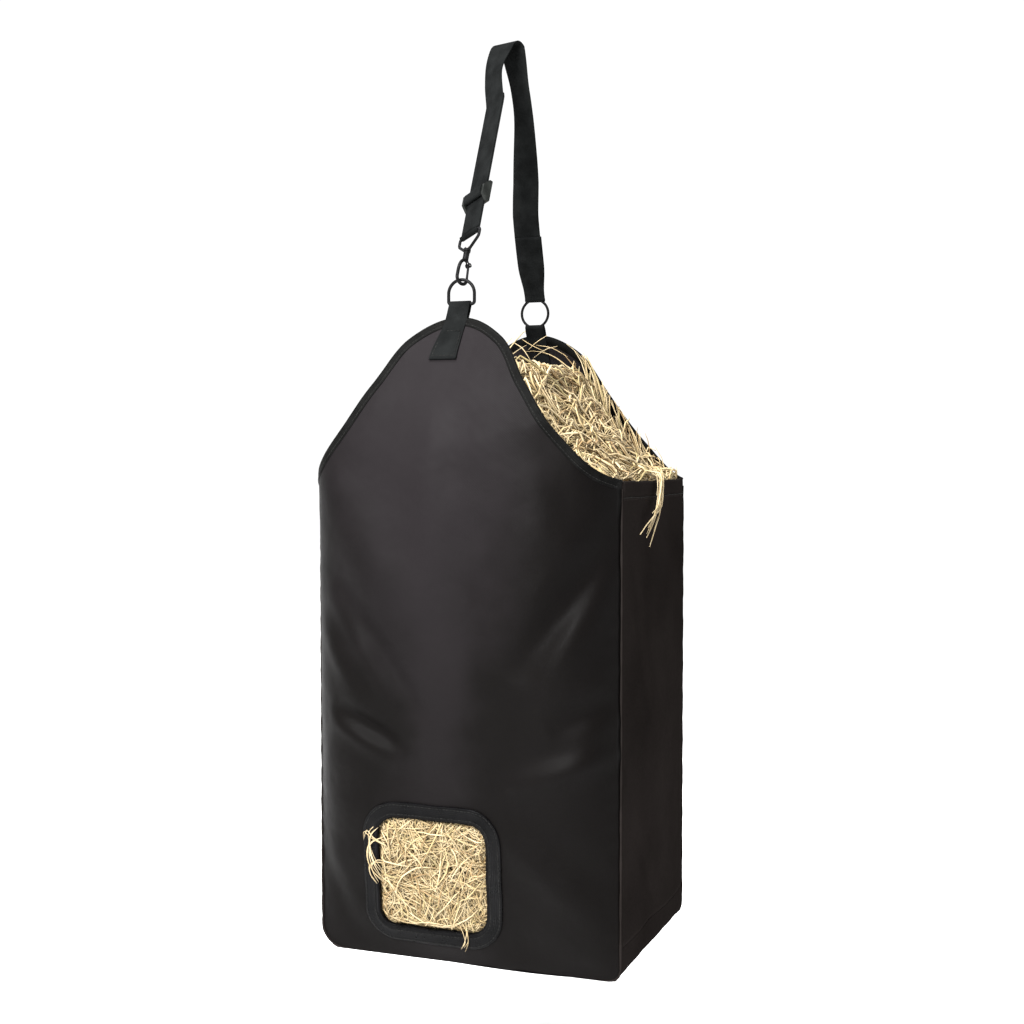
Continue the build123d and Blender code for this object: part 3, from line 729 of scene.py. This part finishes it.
def make_mouth_binding(name, side, tape, thread, node):
    """Tape over the ear's whole edge, from the left side seam over the top to the right one."""
    line = evenly(np.concatenate([EAR * np.array([-1, 1]), EAR[::-1][1:]]), 150)
    inward = -outward_of(line, (0, 420))
    band(name, line, inward, tape_section(-1.4, 9.0, 0.8), side, tape, node)
    path = line + inward * 6.6
    stitches(name + "_stitches", panel(path[:, 0], path[:, 1], side, 0.95), thread)


def make_hem(name, side, cloth, thread, node):
    """Folded hem along a gusset's top edge, with its stitch row."""
    depths = np.linspace(-1, 1, 40) * (HALF_DEPTH - 4)
    rows = []
    for depth in depths:
        bow = float(side_relief(depth, SIDE_HEIGHT - 6.0, side))
        sag = 1.2 * math.cos(depth / HALF_DEPTH * math.pi / 2) - 0.3 * math.sin(depth / 9.0)
        rows.append([(side * (HALF_WIDTH + bow + out), depth, SIDE_HEIGHT + rise - sag - HANG_HEIGHT)
                     for out, rise in HEM])
    tube(name, rows, cut_grid([rise for _, rise in HEM], depths), cloth, "bag", node)
    stitches(name + "_stitches", np.array(rows)[:, 2] + np.array([side * 0.25, 0.0, -6.5]), thread)


def make_seam(prefix, side, cloth, tape, node):
    """The sewn seam of a panel and the gusset: a narrow rolled edge outside, a tape inside."""
    right, left = (half[half[:, 1] <= SIDE_HEIGHT - 2] for half in map(outline_half, (1, -1)))
    right = np.concatenate([left[:1], right])
    line = np.concatenate([spline(left[::-1], 130), spline(right, 130)[1:]])
    out = outward_of(line, (0, 300))
    rows = []
    for k, ((x, h), (ox, oh)) in enumerate(zip(line, out)):
        r = 1.5 + 0.25 * math.sin(k * 0.9) + 0.15 * math.sin(k * 2.3)
        y = HALF_DEPTH + 0.4 + 0.2 * math.sin(k * 0.31)
        ring = []
        for turn in np.linspace(0, 2 * np.pi, 9)[:-1]:
            reach = r * math.cos(turn) - 0.3
            lifted = max(h + oh * reach, 0.3)
            ring.append((x + ox * reach, side * (y + r * math.sin(turn)), lifted - HANG_HEIGHT))
        rows.append(ring)
    tube(prefix + "_welt", rows, cut_grid(np.arange(8.0), np.arange(len(rows)) * 5.0), cloth, "bag")
    inner = HALF_DEPTH - CLOTH - 1.2
    rows = [[(x + ox * a, side * (inner - b), h + oh * a - HANG_HEIGHT) for a, b in SEAM_TAPE]
            for (x, h), (ox, oh) in zip(line[::2], out[::2])]
    uv = cut_grid([b for _, b in SEAM_TAPE], np.arange(len(rows)) * 10.0)
    tube(prefix + "_inside_tape", rows, uv, tape, "bag", node)


# ---------- webbing
# Each run of the strap has a direction up, a length to the crest and a point where it starts.
FRONT_DIR, FRONT_LENGTH = np.array([0.0, 0.42895, 0.90333]), 341.96
BACK_DIR, BACK_LENGTH = np.array([0.0, -0.29844, 0.95443]), 315.89
BACK_OUT = np.array([0.0, 0.95443, 0.29844])
HOOK_BEND = np.array([0.0, -152.10, -312.33])
O_TOP = np.array([0.0, 100.0, -305.7])
D_BAR = np.array([0.0, -150.0, -336.0])    # middle of the D-ring's straight wire
O_FOOT = np.array([0.0, 100.0, -342.3])    # the O-ring's wire where its tab goes round it
EYE_BAR = 68.0                       # from the hook's bend to the bar that the strap goes round
SLIDER_END = 256.0                   # where the front run leaves the slider's travel
TAIL_END = 262.0                     # where the doubled tail ends, past the slider
FRONT_TURN, BACK_TURN = 290.0, 265.0     # where the runs start to turn towards the crest
BAR_REACH, RING_REACH = 2.95, 2.9    # from the middle of a wire to that of the webbing round it
TWIST = math.radians(-35.0)
WEB, WEB_WIDTH, NECK_WIDTH = 1.6, 35.0, 27.0
TAB_WIDTH, TAB_NECK = 33.5, 26.5
X_AXIS = np.array([1.0, 0.0, 0.0])
BEND_SHIFT = 4.0                     # how far the strap crosses the hanging point to the right
CREST = unit(np.array([0.96, -0.26, 0.02]))
WEB_SECTION = [(-1, -0.55), (-0.985, -1), (-0.9, -1), (-0.45, -1), (0, -1), (0.45, -1), (0.9, -1),
               (0.985, -1), (1, -0.55), (1, 0.55), (0.985, 1), (0.9, 1), (0.45, 1), (0, 1), (-0.45, 1),
               (-0.9, 1), (-0.985, 1), (-1, 0.55)]


def ribbon(name, stations, thick, material, body, node):
    """Webbing through stations of (middle of its faces, across, up through the thickness, width)."""
    gone = travelled(np.array([centre for centre, *_ in stations]))
    rows, uv = [], []
    for (centre, across, rise, width), along in zip(stations, gone):
        rows.append([centre + across * (a * width / 2) + rise * (b * thick / 2)
                     for a, b in WEB_SECTION])
        uv.append([(a * width / 2, along) for a, _ in WEB_SECTION])
    tube(name, rows, uv, material, body, node)


def neck_width(distance):
    """The back run is gathered to the O-ring's width near it."""
    return NECK_WIDTH + (WEB_WIDTH - NECK_WIDTH) * smooth_step((distance - 3.0) / 42.0)


def front_frame(distance):
    """Point on the front run with the direction across the webbing and the one to its inner side."""
    across = X_AXIS * math.cos(TWIST) + np.cross(FRONT_DIR, X_AXIS) * math.sin(TWIST)
    return HOOK_BEND + FRONT_DIR * distance, across, np.cross(FRONT_DIR, across)


def front_drift(distance):
    """How far the loose front run leaves its straight line: along X, and to its outer side."""
    free = np.clip((distance - SLIDER_END) / (FRONT_LENGTH - SLIDER_END), 0, 1)
    bow = math.sin(math.pi * free)
    return -BEND_SHIFT * smooth_step(free) - 4.5 * bow, (2.0 + 0.5 * math.sin(distance / 21.0)) * bow


def strap_stations():
    """The strap's long piece, from the snap up the front run, over the bend and down to the O-ring."""
    stations = []
    for distance in np.linspace(EYE_BAR + 2, FRONT_LENGTH, 64):
        place, across, inner = front_frame(distance)
        along_x, outwards = front_drift(distance)
        place = place - inner * (WEB / 2 + outwards) + X_AXIS * along_x
        near = smooth_step((distance - FRONT_TURN) / (FRONT_LENGTH - FRONT_TURN))
        across = unit(across * (1 - near) + CREST * near)
        across = unit(across - FRONT_DIR * (across @ FRONT_DIR) * (1 - near))
        stations.append((place, across, unit(np.cross(FRONT_DIR, across)), WEB_WIDTH))
    first, last = math.atan2(FRONT_DIR[1], FRONT_DIR[2]), math.atan2(-BACK_DIR[1], BACK_DIR[2])
    bend = 6.0
    for t in np.linspace(0, 1, 17)[1:-1]:
        angle = math.pi - first - t * (math.pi - first - last)
        out = np.array([0.0, math.cos(angle), math.sin(angle)])
        place = np.array([BEND_SHIFT * (2 * t - 1), 0.0, -bend]) + out * (bend + WEB / 2)
        stations.append((place, CREST, unit(out - CREST * (out @ CREST)), WEB_WIDTH))
    for distance in np.linspace(BACK_LENGTH, -2.0, 70):
        twist = TWIST * 0.85 * smooth_step((distance - 130.0) / 120.0)
        near = smooth_step((distance - BACK_TURN) / (BACK_LENGTH - BACK_TURN))
        turned = X_AXIS * math.cos(twist) + np.cross(BACK_DIR, X_AXIS) * math.sin(twist)
        across = unit(turned * (1 - near) + CREST * near)
        outer = unit(np.cross(BACK_DIR, across))
        free = np.clip((distance - 110.0) / (BACK_LENGTH - 110.0), 0, 1)
        bow = math.sin(math.pi * free)
        proud = WEB / 2 + (3.0 + 0.5 * math.sin(distance / 17.0)) * bow
        low_bow = math.sin(math.pi * np.clip(distance / 150.0, 0, 1))
        aside = BEND_SHIFT * smooth_step(free) + 4.0 * bow - 2.0 * low_bow
        place = O_TOP + BACK_DIR * distance + outer * proud + X_AXIS * aside
        stations.append((place, across, outer, neck_width(distance)))
    return stations


def make_strap():
    web = MATERIALS["webbing"]
    ribbon("strap_web", strap_stations(), WEB, web, "strap", "strap_webbing")
    fold = [(O_TOP + BACK_DIR * distance - BACK_OUT * WEB / 2, X_AXIS, -BACK_OUT, neck_width(distance))
            for distance in np.linspace(82.0, 2.0, 20)]
    for turn in np.linspace(0.15, math.pi - 0.15, 9):
        out = -BACK_OUT * math.cos(turn) - BACK_DIR * math.sin(turn)
        fold.append((O_TOP + out * RING_REACH, X_AXIS, out, 26.0))
    ribbon("strap_ring_fold", fold, WEB, web, "strap", "strap_ring_loop")
    tail = []
    for distance in np.linspace(TAIL_END, EYE_BAR + 3, 40):
        place, across, inner = front_frame(distance)
        along_x, outwards = front_drift(distance)
        place = place + inner * (WEB / 2 - outwards) + X_AXIS * along_x
        tail.append((place, across, inner, WEB_WIDTH))
    bar, across, inner = front_frame(EYE_BAR)
    for turn in np.linspace(0.1, math.pi - 0.1, 11):
        out = inner * math.cos(turn) - FRONT_DIR * math.sin(turn)
        tail.append((bar + out * BAR_REACH, across, out, WEB_WIDTH))
    ribbon("strap_snap_fold", tail, WEB, web, "strap", "strap_snap_loop")


def make_tab(name, side, foot, centre_x, wire, reach, material, thread, node):
    """A webbing tab: one leg down each face of the ear and a loop over the ring's wire."""

    def share(h):
        return smooth_step((h - foot) / (EAR_HEIGHT - foot))

    def middle(h):
        return centre_x * (1 - 0.75 * share(h))

    def leg(heights, proud):
        for h in heights:
            width = TAB_WIDTH + (TAB_NECK - TAB_WIDTH) * share(h)
            below, spot, above = (panel(middle(h + up), h + up, side, proud) for up in (-2.0, 0.0, 2.0))
            rise = unit(np.cross(unit(above - below), X_AXIS)) * (-1.0 if proud > 0 else 1.0) * side
            yield spot, X_AXIS, rise, width

    edge = EAR_HEIGHT - 4
    outer = list(leg(np.linspace(foot, edge, 14), 1.5))
    inner = list(leg(np.linspace(edge, foot + 4, 10), -CLOTH - 1.4))
    centre = wire + X_AXIS * centre_x * 0.12
    top_out, top_in = outer[-1][0], inner[0][0]
    lean = unit((centre - top_out) * np.array([0.0, 1.0, 1.0]))
    out_way = np.array([0.0, side * lean[2], -side * lean[1]])
    near, far = centre + out_way * reach, centre - out_way * reach
    loop = [(top_out + (near - top_out) * part, X_AXIS, out_way, 26.0) for part in (0.35, 0.7)]
    for turn in np.linspace(0, math.pi, 11):
        out = out_way * math.cos(turn) + lean * math.sin(turn)
        loop.append((centre + out * reach, X_AXIS, out, 25.2))
    loop += [(far + (top_in - far) * part, X_AXIS, -out_way, 26.0) for part in (0.3, 0.65)]
    ribbon(name, outer + loop + inner, 1.5, material, "bag", node)
    low, high = foot + 4.0, EAR_HEIGHT - 16
    half = TAB_WIDTH / 2 - 3.2
    box = np.array([(middle(h) + out * half, h) for out, h in (
        (0.84, high), (1, low), (-1, low), (-0.84, high), (0.84, high))])
    row = np.concatenate([np.linspace(box[k], box[k + 1], 20)[:-1] for k in range(4)] + [box[:1]])
    stitches(name + "_stitches", panel(row[:, 0], row[:, 1], side, 2.45), thread)


# ---------- hay
EAR_RUN = 268.0                      # length of an ear's edge from its top to a side seam
CORE_GAP = 12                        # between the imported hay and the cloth


def strands(name, paths, widths, picks, seed):
    """Many stems as one mesh: each follows a row of points, flattened, twisted and tapered."""
    paths = np.asarray(paths, float)
    count, rings = paths.shape[:2]
    rng = np.random.default_rng(seed)
    way = unit(np.gradient(paths, axis=1))
    lean = unit(rng.normal(size=(count, 1, 3)))
    side = unit(np.cross(way, lean))
    rise = np.cross(way, side)
    t = np.linspace(0, 1, rings)
    taper = (0.45 + 0.75 * np.sin(np.pi * np.clip(t * 0.9 + 0.12, 0, 1)))[None, :, None]
    wide = np.asarray(widths)[:, None, None] * taper * 0.55
    flat = rng.uniform(0.35, 0.8, size=(count, 1, 1))
    corners = [(math.cos(a), math.sin(a)) for a in 0.3 + np.arange(3) * 2 * math.pi / 3]
    points = np.stack([paths + side * wide * c + rise * wide * s * flat for c, s in corners], axis=2)
    size = rings * 3
    first = (np.arange(count) * size)[:, None, None]
    one, caps = np.array(grid_faces(rings, 3, wrap=True)), np.array(end_caps(rings, 3))
    faces = (one + first).reshape(-1, 4).tolist() + (caps + first).reshape(-1, 3).tolist()
    chosen = np.concatenate([np.repeat(picks, len(one)), np.repeat(picks, len(caps))])
    obj = add_mesh(name, points, faces, [MATERIALS[name] for name, _, _ in STRAW], picks=chosen)
    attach(obj, "bag")


def ear_height(x):
    order = np.argsort(EAR[:, 0])
    return np.interp(np.abs(x), EAR[order, 0], EAR[order, 1])


def ear_at(a):
    """x and height on the ear's edge at signed distances along it from its top."""
    a = np.clip(a, -EAR_RUN, EAR_RUN)
    line = EAR[::-1]
    gone = travelled(line)
    return np.sign(a) * np.interp(np.abs(a), gone, line[:, 0]), np.interp(np.abs(a), gone, line[:, 1])


def mound(x, y):
    """Height of the hay's top: it follows the ears, lower at the front and along the back's edge."""
    edge = ear_height(np.minimum(np.abs(x), HALF_WIDTH - 2))
    share = np.clip((y + 150) / 270, 0, 1)
    low = np.minimum(edge, 700 + 0.3 * (edge - 700))
    height = low * (1 - share) + edge * share
    upper = np.clip((edge - SIDE_HEIGHT) / 60.0, 0, 1)
    sink = 6 + 8 * upper + 20 * upper * smooth_step((y - 45) / 60.0)
    sink = sink + 26 * smooth_step((edge - 705) / 45.0)
    sink = sink + 10 * smooth_step((-x - 20) / 70.0)
    return height - sink + 6 * ripple(x, y, 80, 71) * (0.4 + 0.6 * upper) + 3 * ripple(x, y, 30, 72)


def inside_of(x, h, gap):
    """Y of the two panels' inner faces, each moved in by gap."""
    return panel_y(x, h, -1) + gap, panel_y(x, h, 1) - gap


def column(values):
    return values[:, None]


def keep_inside(x, y, h):
    """Keeps hay between the two panels and the gussets wherever it is below their edges."""
    x = np.clip(x, -HALF_WIDTH + 5, HALF_WIDTH - 5)
    front, back = inside_of(x, h, CLOTH + 3)
    return x, np.clip(y, front, np.maximum(back, front + 4))


def wander(rng, count, rings, length, start, spread):
    """Bent flat-lying lines: each is centred near a point and has a heading that drifts."""
    heading = rng.uniform(0, 2 * np.pi, count)
    bend = rng.normal(0, spread, size=(count, 1)) + rng.normal(0, spread * 0.6, size=(count, rings))
    angles = heading[:, None] + np.cumsum(bend, axis=1)
    step = column(length / (rings - 1))
    both = []
    for k, part in enumerate((np.cos, np.sin)):
        run = np.cumsum(part(angles) * step, axis=1)
        both.append(start[:, k:k + 1] + run - part(angles[:, :1]) * step * rings / 2)
    return both


def pick_straw(rng, count, shares=(0.46, 0.3, 0.12, 0.12)):
    return rng.choice(len(STRAW), size=count, p=shares)


def mouth_hay(name, count, seed, low, high, widths):
    """Loose stems over the top of the hay, spread evenly over its slopes."""
    rng = np.random.default_rng(seed)
    rings = 8
    start = np.stack([rng.uniform(-272, 272, count), rng.uniform(-200, 140, count)], axis=1)
    length = rng.uniform(40, 145, count)
    a, y = wander(rng, count, rings, length, start, 0.24)
    a = start[:, :1] + 0.8 * (a - start[:, :1])
    y = start[:, 1:] + 1.6 * (y - start[:, 1:])
    x, _ = ear_at(a)
    t = np.linspace(-1, 1, rings)
    lift = column(rng.uniform(low, high, count)) + column(rng.normal(0, 6, count)) * t
    arch = column(rng.normal(3, 5, count)) * (1 - t ** 2)
    h = mound(x, np.clip(y, -215, 150)) + lift + arch
    x, y = keep_inside(x, y, h)
    paths = np.stack([x, y, h - HANG_HEIGHT], axis=-1)
    strands(name, paths, rng.uniform(*widths, count), pick_straw(rng, count), seed + 1)


def edge_hay(name, count, seed):
    """Stems that lie against the back panel and stand out over its edge."""
    rng = np.random.default_rng(seed)
    a = rng.uniform(62, 262, count) * rng.choice([-1, 1], count)
    way = rng.normal(-0.5, 0.7, count) * np.sign(a)
    bend = rng.normal(0, 0.5, count)
    length = rng.uniform(30, 80, count)
    t = np.linspace(0, 1, 8)
    sideways = column(np.sin(way)) * t + column(bend) * t * t * 0.5
    x, edge = ear_at(column(a) + column(length) * sideways)
    rise = column(rng.uniform(-52, -26, count)) + column(length) * column(np.cos(way)) * t
    top = column(rng.uniform(-6, 9, count))
    h = edge + np.minimum(rise, top + 0.25 * (rise - top))
    lean = column(rng.uniform(4, 26, count)) * (1 - t) ** 1.5 + column(rng.uniform(0.5, 5, count))
    y = panel_y(x, h, 1) - CLOTH - 2.0 - lean
    paths = np.stack([x, y, h - HANG_HEIGHT], axis=-1)
    strands(name, paths, rng.uniform(1.1, 2.6, count), pick_straw(rng, count), seed + 1)


def loose_stems(name, rows, seed):
    """Single stems along given lines: rows of (width, points)."""
    paths = np.array([spline(points, 16) for _, points in rows])
    picks = np.random.default_rng(seed).choice(2, size=len(rows), p=(0.7, 0.3))
    paths[:, :, 2] -= HANG_HEIGHT
    strands(name, paths, np.array([width for width, _ in rows]), picks, seed)


def spilled_tuft():
    """A few stems that hang out over the right gusset's edge and fork."""
    rng = np.random.default_rng(160)
    reach = 202.0
    forks = ([(182, 10, 586), (194, -3, 577), (197, -6, 566), (198, -20, 546), (198, -56, 532),
              (199, -84, 520), (198, -110, 508)],
             [(180, 4, 584), (193, -6, 578), (198, -10, 564), (199, -20, 546), (199, -40, 524),
              (199, -68, 500)],
             [(178, -12, 585), (192, -10, 580), (198, -12, 568), (199, -26, 545), (200, -52, 528),
              (200, -78, 514)])
    rows = []
    for number in range(11):
        fork = np.array(forks[number % len(forks)], float)
        keep = rng.integers(4, len(fork) + 1)
        shift = np.cumsum(rng.normal(0, 2.4, size=fork.shape), axis=0)
        shift[:, 0] = np.abs(shift[:, 0])
        stem = fork + shift
        stem[:, 0] = np.minimum(stem[:, 0], reach)
        rows.append((rng.uniform(1.2, 2.6), stem[:keep]))
    loose_stems("hay_spilled_tuft", rows, 161)


def window_strays():
    """Stems caught over the left and bottom edges of the window's tape."""
    rng = np.random.default_rng(170)
    lines = ([(-92, 168), (-101, 160), (-106, 140), (-101, 118), (-92, 104)],
             [(-90, 152), (-104, 146), (-109, 128), (-104, 110), (-90, 98)],
             [(-84, 140), (-100, 150), (-108, 158), (-110, 148)],
             [(-88, 120), (-103, 122), (-107, 112), (-98, 96)],
             [(6, 62), (9, 46), (8, 34), (3, 22)],
             [(-2, 56), (6, 44), (7, 30), (2, 24)])
    most = max(len(line) for line in lines)
    rows = []
    for number in range(16):
        line = np.array(lines[number % len(lines)], float)
        line = line + np.cumsum(rng.normal(0, 1.0, size=line.shape), axis=0)
        proud = 3.4 + rng.uniform(0, 2.5, len(line))
        proud[0] = 0.5
        points = panel(line[:, 0], line[:, 1], -1, proud) + [0, 0, HANG_HEIGHT]
        rows.append((rng.uniform(0.8, 1.5), spline(points, most)))
    loose_stems("hay_window_strays", rows, 171)


def tab_strays():
    """Stems that cross in front of the back ear's tab."""
    lines = ([(-14, 90, 752), (-2, 86, 745), (18, 88, 735)],
             [(21, 88, 756), (8, 86, 748), (-6, 90, 738)],
             [(-26, 92, 748), (-12, 84, 740), (2, 80, 722)],
             [(34, 92, 742), (22, 84, 738), (4, 80, 726)],
             [(6, 88, 744), (26, 90, 740), (48, 92, 728)])
    loose_stems("hay_tab_strays", [(1.0 + 0.15 * k, line) for k, line in enumerate(lines)], 181)


def window_hay(name, count, seed, deep, near, widths):
    """Stems behind the feed window, lying along the front and bulging a little out of it."""
    rng = np.random.default_rng(seed)
    rings = 7
    cx, ch, half, _ = WINDOW
    reach = half + 14
    start = np.stack([rng.uniform(cx - reach, cx + reach, count),
                      rng.uniform(ch - reach, ch + reach, count)], axis=1)
    length = rng.uniform(26, 80, count)
    x, h = wander(rng, count, rings, length, start, 0.14)
    h = np.maximum(h, 12)
    depth = column(rng.uniform(near, deep, count))
    depth = depth + column(rng.normal(0, 3.5, count)) * np.linspace(-1, 1, rings)
    hidden = smooth_step((window_distance(x, h) + 11.0) / 12.0)
    depth = np.maximum(depth, -6.0) * (1 - hidden) + np.maximum(depth, 7.5) * hidden
    widths = rng.uniform(*widths, count)
    picks = pick_straw(rng, count, (0.5, 0.3, 0.08, 0.12))
    strands(name, panel(x, h, -1, -depth), widths, picks, seed + 1)


def hay_core():
    """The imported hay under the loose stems, as one lumpy block that fills the bag."""
    u, d = np.meshgrid(np.linspace(-1, 1, 61), np.linspace(0, 1, 45))
    x = u * (HALF_WIDTH - CORE_GAP)
    rows, n = x.shape
    floor = 14

    def across(h, gap=CORE_GAP):
        front, back = inside_of(x, h, gap)
        return front + (back - front) * d

    y = across(560.0)
    for _ in range(4):
        top = mound(x, y) - 22 + 4 * ripple(x, y, 26, 81)
        crown = np.stack([x, y, top], -1)
        y = across(top, CORE_GAP + 2)
    points, faces = crown.reshape(-1, 3).tolist(), grid_faces(rows, n)
    rim = ([(0, j) for j in range(n)] + [(i, n - 1) for i in range(1, rows)]
           + [(rows - 1, j) for j in range(n - 2, -1, -1)] + [(i, 0) for i in range(rows - 2, 0, -1)])
    ring = [i * n + j for i, j in rim]
    for share in np.linspace(0.96, 0.0, 24):
        h = floor + (top - floor) * share
        level = np.stack([x, across(h), h], -1)
        wall = np.array([level[i, j] for i, j in rim])
        wx, wy, wz = wall.T
        lumps = 2.5 * ripple(wx + wy, wz, 24, 83) + 1.5 * ripple(wx - wy, wz, 11, 84)
        wall = wall + unit(wall * [1, 1, 0]) * lumps[:, None]
        fresh = list(range(len(points), len(points) + len(rim)))
        points += wall.tolist()
        for k in range(len(rim)):
            m = (k + 1) % len(rim)
            faces.append((ring[k], fresh[k], fresh[m], ring[m]))
        ring = fresh
    faces.append(tuple(ring))
    obj = add_mesh("hay_core", np.array(points) - [0, 0, HANG_HEIGHT], faces, [MATERIALS["hay_core"]])
    settle_normals(obj)
    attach(obj, "bag")


# ---------- bag and build
def make_bag():
    cloth, plain, tape, edge_tape, web, thread = (
        MATERIALS[key] for key in ("cloth", "side_cloth", "tape", "edge_tape", "webbing", "thread"))
    front = make_panel("front_cloth", -1, cloth, "front_panel", hole=True)
    back = make_panel("back_cloth", 1, cloth, "back_panel")
    gussets, panels, strips = ((-1, "left"), (1, "right")), ((-1, "front"), (1, "back")), {}
    for side, name in gussets:
        line = spline(gusset_line(side, JOIN, SIDE_HEIGHT - 1.0), 110)
        strips[name] = make_strip(f"{name}_gusset_cloth", line, side, plain, f"{name}_side_panel")
    corners = [spline(gusset_line(side, 0.0, JOIN), 24) for side in (1, -1)]
    middle = spline([corners[0][-1], corners[1][-1]], 60)[1:-1]
    base = np.concatenate([corners[0], middle, corners[1][::-1]])
    strips["base"] = make_strip("base_cloth", base, 1, plain, "base_panel")
    make_window_binding(tape, thread)
    for side, name in panels:
        make_mouth_binding(f"{name}_mouth_tape", side, edge_tape, thread, f"{name}_mouth_binding")
    for side, name in gussets:
        make_hem(f"{name}_hem", side, plain, thread, f"{name}_mouth_hem")
    for side, name in panels:
        make_seam(name, side, plain, tape, f"{name}_seam_binding")
    make_tab("front_tab_webbing", -1, 708.0, -10.0, D_BAR, 3.0, web, thread, "front_tab")
    make_tab("back_tab_webbing", 1, 712.0, 0.0, O_FOOT, 2.8, web, thread, "back_tab")


def make_hay():
    hay_core()
    mouth_hay("hay_mouth_low", 2000, 101, -16, -6, (1.6, 3.4))
    mouth_hay("hay_mouth_mid", 1700, 111, -9, 3, (1.3, 3.2))
    mouth_hay("hay_mouth_top", 700, 121, -1, 10, (1.5, 3.4))
    edge_hay("hay_back_edge", 150, 126)
    spilled_tuft()
    window_strays()
    tab_strays()
    window_hay("hay_window_low", 900, 131, 14, 6, (1.3, 2.4))
    window_hay("hay_window_mid", 900, 141, 8, 0, (1.0, 2.1))
    window_hay("hay_window_top", 420, 151, 3, -5, (0.9, 1.9))


make_camera()
make_studio()
dress_cad()
make_hay()
make_bag()
make_strap()

[[list(map(float, corner)) for corner in box] for box in (cad_box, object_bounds())]
